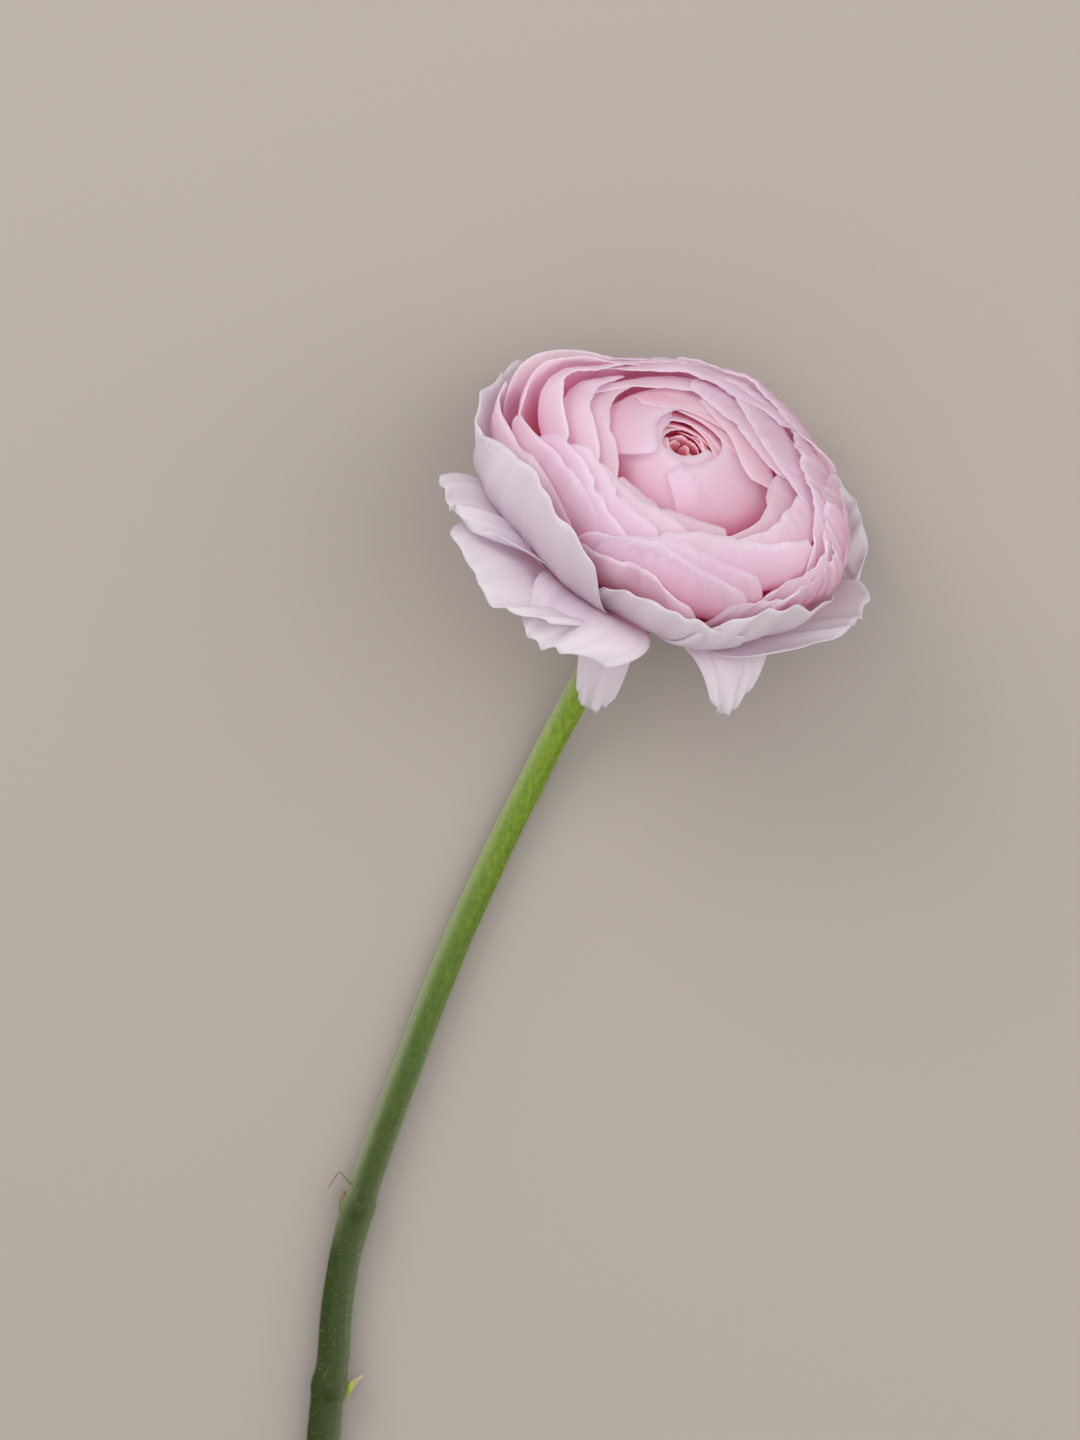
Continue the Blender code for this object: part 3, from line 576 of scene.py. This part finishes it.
def shape_bloom(points):
    """Gives every petal the bloom's uneven shape, so that neighbours move together."""
    x, y, z = points[..., 0], points[..., 1], points[..., 2]
    radius = np.hypot(x, y)
    turn = np.degrees(np.arctan2(y, x))
    drawn = sum(share * bump(turn, middle, spread) for middle, spread, share in OUTLINE)
    drawn = 1 + drawn * smooth_step(radius / OUTLINE_REACH)
    eye = smooth_step((z - EYE_FOOT) / (EYE_TOP - EYE_FOOT)) * (1 - smooth_step(radius / EYE_REACH))
    lobe = smooth_step((radius - LOBE_FROM) / (LOBE_TO - LOBE_FROM))
    lobe = bump(turn, LOBE_TURN, LOBE_SPREAD) * lobe * smooth_step(z / CENTRE_ABOVE_BASE)
    depth = SWAY * smooth_step(radius / SWAY_REACH)
    pace = 2 * math.pi / SWAY_LENGTH
    sway = [depth * np.sin(pace * (points @ np.array(amounts)) + phase) for amounts, phase in SWAY_WAVES]
    return np.stack([x * drawn + EYE_SHIFT[0] * eye + sway[0],
                     y * drawn + EYE_SHIFT[1] * eye + sway[1],
                     z + LOBE_RISE * lobe + sway[2]], axis=-1)


def make_petal(**values):
    """A plain petal changed by the values given."""
    return {**PLAIN_PETAL, **values}


def read_stage(stages, place):
    """The stage values between two rows of a table."""
    places = [row[0] for row in stages]
    return [float(np.interp(place, places, [row[column] for row in stages]))
            for column in range(1, len(stages[0]))]


def root_on_core(place):
    """A root point inside the core: at its top for the first petals, at its foot for the last."""
    top, foot = np.array(CORE_TOP), np.array(CORE_FOOT)
    point = top + (foot - top) * (FIRST_ROOT + ROOT_SPAN * place)
    return (float(point[0]) - ROOT_DEPTH, float(point[1]))


def bloom_petals():
    """The bud's and the rings' petals, set one after another on a spiral from the inside out."""
    rng = random.Random(PETAL_SEED)
    fine = random.Random(WAVE_SEED)
    total = BUD_COUNT + RING_COUNT
    petals = []
    for number in range(total):
        place = number / (total - 1)
        in_bud = number < BUD_COUNT
        if in_bud:
            ring_place, first, loose = 0.0, 0.0, BUD_LOOSE
            rim_radius, rim_height, lean, width, swell = read_stage(BUD_STAGES, number / (BUD_COUNT - 1))
            share = place / BUD_SHARE
            back = (rim_radius * (1 + BUD_BACK_OUT * share), rim_height, lean, swell)
        else:
            ring_place = (number - BUD_COUNT) / (RING_COUNT - 1)
            first, loose = (1 - ring_place) ** FIRST_POWER, FIRST_LOOSE + MORE_LOOSE * ring_place
            rim_radius, rim_height, lean, width, swell = read_stage(RING_STAGES, ring_place)
            back = read_stage(BACK_STAGES, ring_place)
        last = ring_place ** LAST_POWER
        moved = draw_values(rng, PLACE_VARIETY)
        out, up, tilt = (moved[name] * loose for name in ("out", "up", "lean"))
        turn = FIRST_TURN + TURN_STEP * number + moved["turn"]
        blade = {**draw_values(rng, BLADE_VARIETY), **draw_values(fine, RIM_VARIETY)}
        blade["width"] *= width
        blade["taper"] *= BUD_TAPER if in_bud else 1.0
        blade["tuck"] *= loose
        blade["flare"] *= loose
        blade["curl"] *= max(0.0, ring_place - CURLED_FROM)
        blade["ruffle"] *= place
        waved = bump(turn, *WAVED_SIDE)
        blade["wave_depth"] = blade["wave_depth"] * (BUD_WAVES + ring_place) * (1 + waved)
        blade["wave_turns"] *= 1 + MORE_TURNS * waved
        blade["pleat_depth"] += MORE_PLEATED * bump(turn, *PLEATED_SIDE) * ring_place
        petals.append(make_petal(
            **blade,
            turn=turn,
            root=root_on_core(place),
            start=INNER_START - START_FALL * min(1.0, place * START_PACE),
            rim=(rim_radius + out, rim_height + up),
            lean=lean + tilt,
            swell=swell,
            back=(back[0] + out, back[1] + up, back[2] + tilt, back[3]),
            front_out=FRONT_OUT * first - FRONT_IN * last,
            front_rise=FRONT_RISE * last - FRONT_DROP * first,
            front_lean=FRONT_LEAN * last,
            tone=place,
            blush=max(0.0, 1 - place / BLUSH_UPTO)))
    return petals


def crescent_petals():
    """The thin petals whose rims fill the opening of the bud behind the eye."""
    petals = []
    for number, (turn, radius, height, lean, width) in enumerate(CRESCENTS):
        place = number / len(CRESCENTS)
        petals.append(make_petal(
            **CRESCENT_BLADE, turn=turn, root=root_on_core(place * BUD_SHARE), rim=(radius, height),
            lean=lean, width=width, tone=place * BUD_SHARE, blush=CRESCENT_BLUSH * (1 - place)))
    return petals


def heart_petals():
    """The small petals that close the middle of the bud."""
    petals = []
    for number in range(HEART_COUNT):
        outer = HEART_INNERMOST + (1 - HEART_INNERMOST) * number / (HEART_COUNT - 1)
        rim = (HEART_RIM[0] * outer, HEART_RIM[1] - HEART_DROP * (number % 2))
        petals.append(make_petal(**HEART_BLADE, turn=TURN_STEP * number, rim=rim))
    return petals


def guard_petals():
    """The wide outer petals, level or hanging."""
    fine = random.Random(WAVE_SEED + 1)
    petals = []
    root = (GUARD_ROOT[0] - ROOT_DEPTH, GUARD_ROOT[1])
    for number, (turn, radius, height, lean, width, start, taper) in enumerate(GUARDS + HANGING_GUARDS):
        petal = make_petal(
            **GUARD_BLADE, **draw_values(fine, GUARD_RIM_VARIETY), turn=turn, root=root, start=start,
            rim=(radius, height), lean=lean, width=width, taper=taper,
            waves=GUARD_WAVES + GUARD_WAVES_STEP * number, phase=GUARD_PHASE_STEP * number)
        if number >= len(GUARDS):
            petal.update(HANGING_BLADE, bow=HANGING_BOWS[number - len(GUARDS)])
        petals.append(petal)
    return petals


def sepals():
    """Five narrow sepals folded back along the stem."""
    return [make_petal(**SEPAL_BLADE, turn=SEPAL_FIRST_TURN + 360 * number / SEPAL_COUNT,
                       tone=number / SEPAL_COUNT)
            for number in range(SEPAL_COUNT)]


def blade_faces(rows, columns):
    """Faces of a closed blade: both sides, and a strip round the edge."""
    wide = columns + 1
    layer = (rows + 1) * wide
    faces = []
    for row in range(rows):
        for column in range(columns):
            a = row * wide + column
            b, c, d = a + 1, a + wide + 1, a + wide
            faces.append((a, d, c, b))
            faces.append((layer + a, layer + b, layer + c, layer + d))
    edge = list(range(wide))
    edge += [row * wide + columns for row in range(1, rows + 1)]
    edge += [rows * wide + column for column in range(columns - 1, -1, -1)]
    edge += [row * wide for row in range(rows - 1, 0, -1)]
    for start, end in zip(edge, edge[1:] + edge[:1]):
        faces.append((start, end, layer + end, layer + start))
    return faces


def sheet_normals(sheet):
    """The direction square to a sheet at each of its points."""
    normal = np.cross(np.gradient(sheet, axis=0), np.gradient(sheet, axis=1))
    return normal / np.maximum(np.linalg.norm(normal, axis=-1, keepdims=True), MIN_NORMAL)


def wave_sheet(sheet, petal):
    """Adds the waves of the rim and the fine pleats that run down the petal."""
    rows, columns = sheet.shape[0] - 1, sheet.shape[1] - 1
    up = np.linspace(0, 1, rows + 1)[:, None]
    across = np.linspace(-1, 1, columns + 1)[None, :]
    rise = smooth_step((up - WAVE_FROM) / (1 - WAVE_FROM))
    turns = petal["wave_turns"] * math.pi * across
    small_depth, small_turns, small_phase = SMALL_WAVE
    wave = np.sin(turns + petal["phase"])
    wave = wave + small_depth * np.sin(small_turns * turns + small_phase * petal["phase"])
    pleat = np.sin(petal["pleats"] * math.pi * across + petal["phase"]) * smooth_step(up * PLEAT_PACE)
    moved = petal["wave_depth"] * rise * wave + petal["pleat_depth"] * pleat
    return sheet + sheet_normals(sheet) * moved[..., None]


def blade_points(sheet, root_thick, rim_thick, floor):
    """The two faces of a blade that thins towards its rim, kept above the floor."""
    rows = sheet.shape[0] - 1
    thick = np.linspace(root_thick, rim_thick, rows + 1)[:, None, None]
    lifted = sheet.copy()
    lifted[..., 2] = np.maximum(lifted[..., 2], floor + thick[..., 0] / 2)
    normal = sheet_normals(lifted)
    inner = lifted + normal * thick / 2
    outer = lifted - normal * thick / 2
    for face in (inner, outer):
        face[..., 2] = np.maximum(face[..., 2], floor)
    return np.concatenate([inner.reshape(-1, 3), outer.reshape(-1, 3)])


def add_object(name, data):
    """An object in the scene that shows a mesh, a lamp or a camera."""
    made = bpy.data.objects.new(name, data)
    bpy.context.scene.collection.objects.link(made)
    return made


def add_values(mesh, name, values):
    """Keeps a number for each vertex, for the material to read."""
    kept = mesh.attributes.new(name, "FLOAT", "POINT").data
    kept.foreach_set("value", np.asarray(values, np.float32))


def make_mesh(name, points, faces, look):
    """A mesh of the given points and faces in one material."""
    mesh = bpy.data.meshes.new(name)
    mesh.from_pydata(points.tolist(), [], faces)
    mesh.materials.append(look)
    return mesh


def make_blades(name, petals, grid, floor, thick, look):
    """One piece of closed, waved petals."""
    rows, columns = grid
    up = np.repeat(np.linspace(0, 1, rows + 1), columns + 1)
    side = np.tile(np.linspace(-1, 1, columns + 1), rows + 1)
    pattern = blade_faces(rows, columns)
    points, faces = [], []
    values = {"along": [], "across": [], "tone": [], "blush": [], "inside": []}
    for number, petal in enumerate(petals):
        sheet = wave_sheet(petal_sheet(petal, rows, columns), petal)
        blade = blade_points(to_world(shape_bloom(sheet)), *thick, floor)
        first = number * len(blade)
        points.append(blade)
        faces += [tuple(first + corner for corner in face) for face in pattern]
        values["along"] += [up, up]
        values["across"] += [side, side]
        values["tone"].append(np.full(len(blade), petal["tone"]))
        values["blush"].append(np.full(len(blade), petal["blush"]))
        values["inside"] += [np.ones(len(up)), np.zeros(len(up))]
    mesh = make_mesh(name, np.concatenate(points), faces, look)
    for key, parts in values.items():
        add_values(mesh, key, np.concatenate(parts))
    mesh.shade_smooth()
    return add_object(name, mesh)


def set_inputs(node, values):
    """Sets a node's inputs by their names."""
    for name, value in values.items():
        node.inputs[name].default_value = value


def new_material(name, surface):
    """A material with the given values of its surface, its tree of nodes and its shader."""
    made = bpy.data.materials.new(name)
    made.use_nodes = True
    shader = made.node_tree.nodes["Principled BSDF"]
    set_inputs(shader, surface)
    return made, made.node_tree, shader


def ramp(tree, stops, factor):
    """A colour ramp with the given stops, fed by a socket."""
    node = tree.nodes.new("ShaderNodeValToRGB")
    elements = node.color_ramp.elements
    elements[0].position, elements[1].position = stops[0][0], stops[-1][0]
    elements[0].color = (*stops[0][1], 1)
    elements[1].color = (*stops[-1][1], 1)
    for place, colour in stops[1:-1]:
        elements.new(place).color = (*colour, 1)
    tree.links.new(factor, node.inputs["Fac"])
    return node.outputs["Color"]


def mixed(tree, kind, factor, first, second):
    """Two colours mixed by a number or a socket."""
    node = tree.nodes.new("ShaderNodeMix")
    node.data_type = "RGBA"
    node.blend_type = kind
    for number, value in ((MIX_SHARE, factor), (MIX_FIRST, first), (MIX_SECOND, second)):
        socket = node.inputs[number]
        if isinstance(value, bpy.types.NodeSocket):
            tree.links.new(value, socket)
        elif isinstance(value, tuple):
            socket.default_value = (*value, 1)
        else:
            socket.default_value = value
    return node.outputs[MIX_RESULT]


def attribute(tree, name):
    """A vertex value of the mesh."""
    node = tree.nodes.new("ShaderNodeAttribute")
    node.attribute_name = name
    return node.outputs["Fac"]


def scaled(tree, value, factor):
    """A number from a socket, multiplied."""
    node = tree.nodes.new("ShaderNodeMath")
    node.operation = "MULTIPLY"
    tree.links.new(value, node.inputs[0])
    node.inputs[1].default_value = factor
    return node.outputs[0]


def noise(tree, place, scale, detail):
    """Soft noise over the places that a socket gives."""
    node = tree.nodes.new("ShaderNodeTexNoise")
    set_inputs(node, {"Scale": scale, "Detail": detail})
    tree.links.new(place, node.inputs["Vector"])
    return node.outputs["Fac"]


def add_relief(tree, shader, height, strength, depth):
    """Raises a surface a little where a socket's value is high."""
    node = tree.nodes.new("ShaderNodeBump")
    set_inputs(node, {"Strength": strength, "Distance": depth})
    tree.links.new(height, node.inputs["Height"])
    tree.links.new(node.outputs[0], shader.inputs["Normal"])


def vein_noise(tree, along, across, tone):
    """Noise drawn out along a petal and dense across it, another for each petal."""
    place = tree.nodes.new("ShaderNodeCombineXYZ")
    tree.links.new(scaled(tree, across, VEINS_ACROSS), place.inputs["X"])
    tree.links.new(along, place.inputs["Y"])
    tree.links.new(scaled(tree, tone, VEINS_APART), place.inputs["Z"])
    return noise(tree, place.outputs[0], 1.0, VEIN_DETAIL)


def petal_material(name, inner, outer, glow, vein_share, back, passing):
    """Petal tissue: paler towards the rim, finely veined along its length, lit from behind."""
    made, tree, shader = new_material(name, PETAL_SURFACE)
    along, across, tone = (attribute(tree, key) for key in ("along", "across", "tone"))
    colour = mixed(tree, "MIX", tone, ramp(tree, inner, along), ramp(tree, outer, along))
    # the innermost petals are coral, and every outer face takes a little of the back's colour
    colour = mixed(tree, "MIX", attribute(tree, "blush"), colour, ramp(tree, CORAL, along))
    behind = mixed(tree, "MIX", BACK_SHARE, colour, back)
    colour = mixed(tree, "MIX", attribute(tree, "inside"), behind, colour)
    veins = vein_noise(tree, along, across, tone)
    colour = mixed(tree, "MULTIPLY", vein_share, colour, ramp(tree, VEIN_SHADE, veins))
    add_relief(tree, shader, veins, *VEIN_RELIEF)
    tree.links.new(colour, shader.inputs["Base Color"])
    # light that has passed through the tissue takes a tint
    through = tree.nodes.new("ShaderNodeBsdfTranslucent")
    tree.links.new(mixed(tree, "MULTIPLY", 1.0, colour, passing), through.inputs["Color"])
    both = tree.nodes.new("ShaderNodeMixShader")
    both.inputs[0].default_value = glow
    tree.links.new(shader.outputs[0], both.inputs[1])
    tree.links.new(through.outputs[0], both.inputs[2])
    tree.links.new(both.outputs[0], tree.nodes["Material Output"].inputs["Surface"])
    return made


def smooth_route(points, steps):
    """A smooth curve through the points, with the given steps between each two."""
    points = [np.array(point) for point in points]
    padded = [2 * points[0] - points[1]] + points + [2 * points[-1] - points[-2]]
    curve = []
    for before, start, end, after in zip(padded, padded[1:], padded[2:], padded[3:]):
        for step in range(steps):
            t = step / steps
            curve.append(0.5 * (2 * start + (end - before) * t
                                + (2 * before - 5 * start + 4 * end - after) * t * t
                                + (3 * start - before - 3 * end + after) * t ** 3))
    curve.append(points[-1])
    return np.array(curve)


def lengths_along(line):
    """The way along a line at each of its points."""
    return np.concatenate([[0], np.cumsum(np.linalg.norm(np.diff(line, axis=0), axis=1))])


def stem_line():
    """The stem's centre line and its radius, from the bloom to the cut end."""
    top = BLOOM_BASE + AXIS_Z * STEM_TOP
    flat = smooth_route(((top.x, top.y),) + STEM_ROUTE, STEM_STEPS)
    length = lengths_along(flat)
    radius = np.interp(length, [row[0] for row in STEM_RADII], [row[1] for row in STEM_RADII])
    for place in NODE_PLACES:
        radius = radius + NODE_SWELL * np.exp(-((flat[:, 1] - place) / NODE_LENGTH) ** 2)
    # the height falls from the bloom's seat, along its axis, and levels out on the surface
    u = np.clip(length / STEM_DROP, 0, 1)
    slope = -math.tan(AXIS_RISE) * STEM_DROP
    height = top.z * (2 * u ** 3 - 3 * u ** 2 + 1) + slope * (u ** 3 - 2 * u ** 2 + u)
    height = height + (radius - STEM_PRESS) * (3 * u ** 2 - 2 * u ** 3)
    return np.column_stack([flat, height]), radius


def line_frames(line, first):
    """At each point of a line: the direction ahead, one to the side and one up."""
    ahead = np.gradient(line, axis=0)
    ahead[0] = first
    ahead = ahead / np.linalg.norm(ahead, axis=1, keepdims=True)
    aside = np.cross(ahead, (0.0, 0.0, 1.0))
    aside = aside / np.linalg.norm(aside, axis=1, keepdims=True)
    return ahead, aside, np.cross(aside, ahead)


def rings_round(line, radius, angle, aside, up):
    """Rings of points round a line, whose radius may differ from point to point."""
    outward = np.cos(angle)[..., None] * aside[:, None] + np.sin(angle)[..., None] * up[:, None]
    return line[:, None] + radius[..., None] * outward


def ring_faces(rings, sides):
    """Quads between rings of points, one ring after another."""
    faces = []
    for ring in range(rings - 1):
        for side in range(sides):
            a, b = ring * sides + side, ring * sides + (side + 1) % sides
            faces.append((b, a, a + sides, b + sides))
    return faces


def painted_highlight_amount(along, sides):
    """How much painted highlight each point of a round piece shows, ring after ring."""
    angles = 2 * math.pi * np.arange(sides) / sides
    amount = np.zeros((len(along), sides))
    for turn, places, amounts in PAINTED_HIGHLIGHT_SIDES:
        facing = np.maximum(np.cos(angles - math.radians(turn)), 0) ** HIGHLIGHT_POWER
        amount += np.outer(np.interp(along, places, amounts), facing)
    return amount.ravel()


def make_round(name, rings, along, look):
    """A closed round piece through rings of points, with its place along the length kept."""
    sides = rings.shape[1]
    faces = ring_faces(len(rings), sides)
    faces.append(tuple(range(sides)))
    faces.append(tuple((len(rings) - 1) * sides + side for side in range(sides - 1, -1, -1)))
    mesh = make_mesh(name, rings.reshape(-1, 3), faces, look)
    add_values(mesh, "along", np.repeat(along, sides))
    # the painted highlight along the lit sides, for the material to read
    add_values(mesh, "painted_highlight", painted_highlight_amount(along, sides))
    mesh.shade_smooth()
    return add_object(name, mesh)


def make_stem(look):
    """The ribbed stem: flared at the bloom, kinked at its nodes, cut slantwise and hollow at the end."""
    line, radius = stem_line()
    ahead, aside, up = line_frames(line, -np.array(AXIS_Z))
    angle = np.linspace(0, 2 * math.pi, STEM_SIDES, endpoint=False)[None, :]
    length = lengths_along(line)[:, None]
    rib = RIB_DEPTH * (np.cos(RIB_COUNT * angle + RIB_TWIST * length) - 1)
    uneven = UNEVEN_DEPTH * np.sin(UNEVEN_ALONG[0] * length + UNEVEN_ROUND[0] * angle)
    uneven = uneven * np.cos(UNEVEN_ALONG[1] * length + UNEVEN_ROUND[1] * angle)
    shoulder = SHOULDER_OUT * np.exp(-((line[:, 1:2] - SHOULDER_PLACE) / SHOULDER_LENGTH) ** 2)
    shoulder = shoulder * smooth_step(np.cos(angle - STUB_SIDE))
    wide = radius[:, None] + DOWN_DEPTH + rib + uneven + shoulder
    rings = rings_round(line, wide, angle, aside, up)
    rings[-1] -= CUT_SLOPE * radius[-1] * np.sin(angle[0])[:, None] * ahead[-1]
    # the hollow of the cut end
    centre = line[-1]
    mouth = centre + HOLLOW_SHARE * (rings[-1] - centre)
    inside = mouth - HOLLOW_DEPTH * ahead[-1]
    rings = np.concatenate([rings, mouth[None], inside[None]])
    rings[..., 2] = np.maximum(rings[..., 2], 0)
    along = np.concatenate([length[:, 0] / length[-1, 0], [1.0, 1.0]])
    return make_round("stem_fine", rings, along, look)


def make_stub(name, route, radii, look):
    """A small tapered stub or thread along a bent line."""
    line = smooth_route(route, STUB_STEPS)
    share = np.linspace(0, 1, len(line))
    radius = radii[0] + (radii[1] - radii[0]) * share ** STUB_TAPER
    _, aside, up = line_frames(line, line[1] - line[0])
    angle = np.linspace(0, 2 * math.pi, STUB_SIDES, endpoint=False)[None, :]
    return make_round(name, rings_round(line, radius[:, None], angle, aside, up), share, look)


def make_hairs(look):
    """Short pale hairs that stand on the stem, each a thin closed spike."""
    rng = np.random.default_rng(HAIR_SEED)
    line, radius = stem_line()
    ahead, aside, up = line_frames(line, -np.array(AXIS_Z))
    points, faces = [], []
    for _ in range(HAIR_COUNT):
        ring = int(rng.integers(STEM_STEPS, len(line) - 1))
        angle = rng.uniform(*HAIR_ROUND) * math.pi
        out = math.cos(angle) * aside[ring] + math.sin(angle) * up[ring]
        # the root sinks in by its own width
        root = line[ring] + out * (radius[ring] - 2 * HAIR_RADIUS)
        root = root + ahead[ring] * rng.uniform(-HAIR_SHIFT, HAIR_SHIFT)
        reach = out - ahead[ring] * HAIR_LEAN * rng.uniform(0, 1)
        reach = reach + aside[ring] * rng.uniform(-HAIR_ASIDE, HAIR_ASIDE)
        tip = root + rng.uniform(*HAIR_LENGTH) * reach
        side = HAIR_RADIUS * np.cross(out, ahead[ring])
        along = HAIR_RADIUS * ahead[ring]
        first = len(points)
        points += [root + side, root - side + along, root - side - along, tip]
        a, b, c, d = range(first, first + 4)
        faces += [(a, b, c), (a, d, b), (b, d, c), (c, d, a)]
    points = np.array(points)
    points[:, 2] = np.maximum(points[:, 2], 0)
    return add_object("stem_hairs", make_mesh("stem_hairs", points, faces, look))


def stem_material(name, stops, mottle_dark, roughness):
    """Green tissue whose colour runs along the piece, finely streaked and mottled, with a painted highlight
    along its lit flanks.
    """
    made, tree, shader = new_material(name, {**GREEN_SURFACE, "Roughness": roughness})
    colour = ramp(tree, stops, attribute(tree, "along"))
    place = tree.nodes.new("ShaderNodeNewGeometry").outputs["Position"]
    stretched = tree.nodes.new("ShaderNodeMapping")
    set_inputs(stretched, {"Scale": STREAK_SCALE})
    tree.links.new(place, stretched.inputs["Vector"])
    mottle = noise(tree, place, MOTTLE_SCALE, MOTTLE_DETAIL)
    streaks = noise(tree, stretched.outputs[0], 1.0, STREAK_DETAIL)
    mottle_shade = ((MOTTLE_FROM, mottle_dark), (MOTTLE_UPTO, (1.0, 1.0, 1.0)))
    colour = mixed(tree, "MULTIPLY", MOTTLE_SHARE, colour, ramp(tree, mottle_shade, mottle))
    colour = mixed(tree, "MULTIPLY", STREAK_SHARE, colour, ramp(tree, STREAK_SHADE, streaks))
    # painted highlight: a pale sheen mixed into the colour along the lit sides
    highlighted = mixed(tree, "MIX", HIGHLIGHT_SHARE, colour, HIGHLIGHT_COLOUR)
    colour = mixed(tree, "MIX", attribute(tree, "painted_highlight"), colour, highlighted)
    tree.links.new(colour, shader.inputs["Base Color"])
    add_relief(tree, shader, mottle, *GREEN_RELIEF)
    return made


def add_lamp(name, place, target, size, energy, colour):
    """A square lamp turned towards a point."""
    lamp = bpy.data.lights.new(name, "AREA")
    lamp.size = size
    lamp.energy = energy
    lamp.color = colour
    made = add_object(name, lamp)
    made.location = place
    made.rotation_euler = (Vector(target) - Vector(place)).to_track_quat("-Z", "Y").to_euler()


def build_surface():
    """The plain pale surface that the flower lies on."""
    look, _, _ = new_material("surface", GROUND_SURFACE)
    corners = GROUND_HALF * np.array([(-1, -1, 0), (1, -1, 0), (1, 1, 0), (-1, 1, 0)])
    add_object("surface", make_mesh("surface", corners, [(0, 1, 2, 3)], look))


def build_light():
    """Soft lamps, a pale room, and light that passes many times from petal to petal."""
    scene = bpy.context.scene
    for lamp in LAMPS:
        add_lamp(*lamp)
    scene.world = bpy.data.worlds.new("studio")
    scene.world.use_nodes = True
    set_inputs(scene.world.node_tree.nodes["Background"], ROOM_LIGHT)
    scene.view_settings.view_transform = "Standard"
    scene.cycles.diffuse_bounces = LIGHT_PASSES
    scene.cycles.transmission_bounces = LIGHT_PASSES
    scene.cycles.max_bounces = LIGHT_PASSES


def build_camera():
    """The camera that looks straight down on the flower."""
    lens = bpy.data.cameras.new("camera")
    lens.sensor_fit = "AUTO"
    lens.sensor_width = SENSOR_WIDTH
    lens.lens = SENSOR_WIDTH * (CAMERA_HEIGHT - BLOOM_HEIGHT) / (PICTURE_HEIGHT * PIXEL)
    camera = add_object("camera", lens)
    camera.location = (*PICTURE_CENTRE, CAMERA_HEIGHT)
    bpy.context.scene.camera = camera


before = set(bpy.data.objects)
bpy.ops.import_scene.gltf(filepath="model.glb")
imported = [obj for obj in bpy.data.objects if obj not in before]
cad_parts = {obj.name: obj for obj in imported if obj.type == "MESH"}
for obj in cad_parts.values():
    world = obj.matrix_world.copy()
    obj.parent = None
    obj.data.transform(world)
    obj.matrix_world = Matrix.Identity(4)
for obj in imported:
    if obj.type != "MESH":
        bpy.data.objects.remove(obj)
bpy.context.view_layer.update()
build_surface()
build_light()
build_camera()

looks = {name: petal_material(name, **values) for name, values in PETAL_LOOKS.items()}
looks.update({name: stem_material(name, **values) for name, values in STEM_LOOKS.items()})

heart = make_blades("heart_petals", heart_petals(), HEART_GRID, PETAL_FLOOR, PETAL_THICK, looks["heart"])
petals = make_blades("bloom_petals", bloom_petals() + crescent_petals(), PETAL_GRID, PETAL_FLOOR,
                     PETAL_THICK, looks["petal"])
guards = make_blades("guard_petals_fine", guard_petals(), GUARD_GRID, GUARD_FLOOR, PETAL_THICK,
                     looks["guard"])
sepal_pieces = make_blades("sepals_fine", sepals(), SEPAL_GRID, GUARD_FLOOR, SEPAL_THICK, looks["sepal"])

stem = make_stem(looks["stem_tissue"])
leaf_stub = make_stub("leaf_stub", *LEAF_STUB, looks["leaf_stub_tissue"])
bud_stub = make_stub("bud_stub", *BUD_STUB, looks["bud_stub_tissue"])
thread = make_stub("dry_thread", *THREAD, looks["thread_tissue"])
hairs = make_hairs(looks["hair_tissue"])

for piece in (leaf_stub, bud_stub, thread, hairs):
    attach(piece, "root")
for piece, node in ((stem, "stem"), (heart, "heart"), (petals, "petals"), (guards, "guard_petals"),
                    (sepal_pieces, "sepals")):
    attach(piece, "root")
    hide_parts(node)
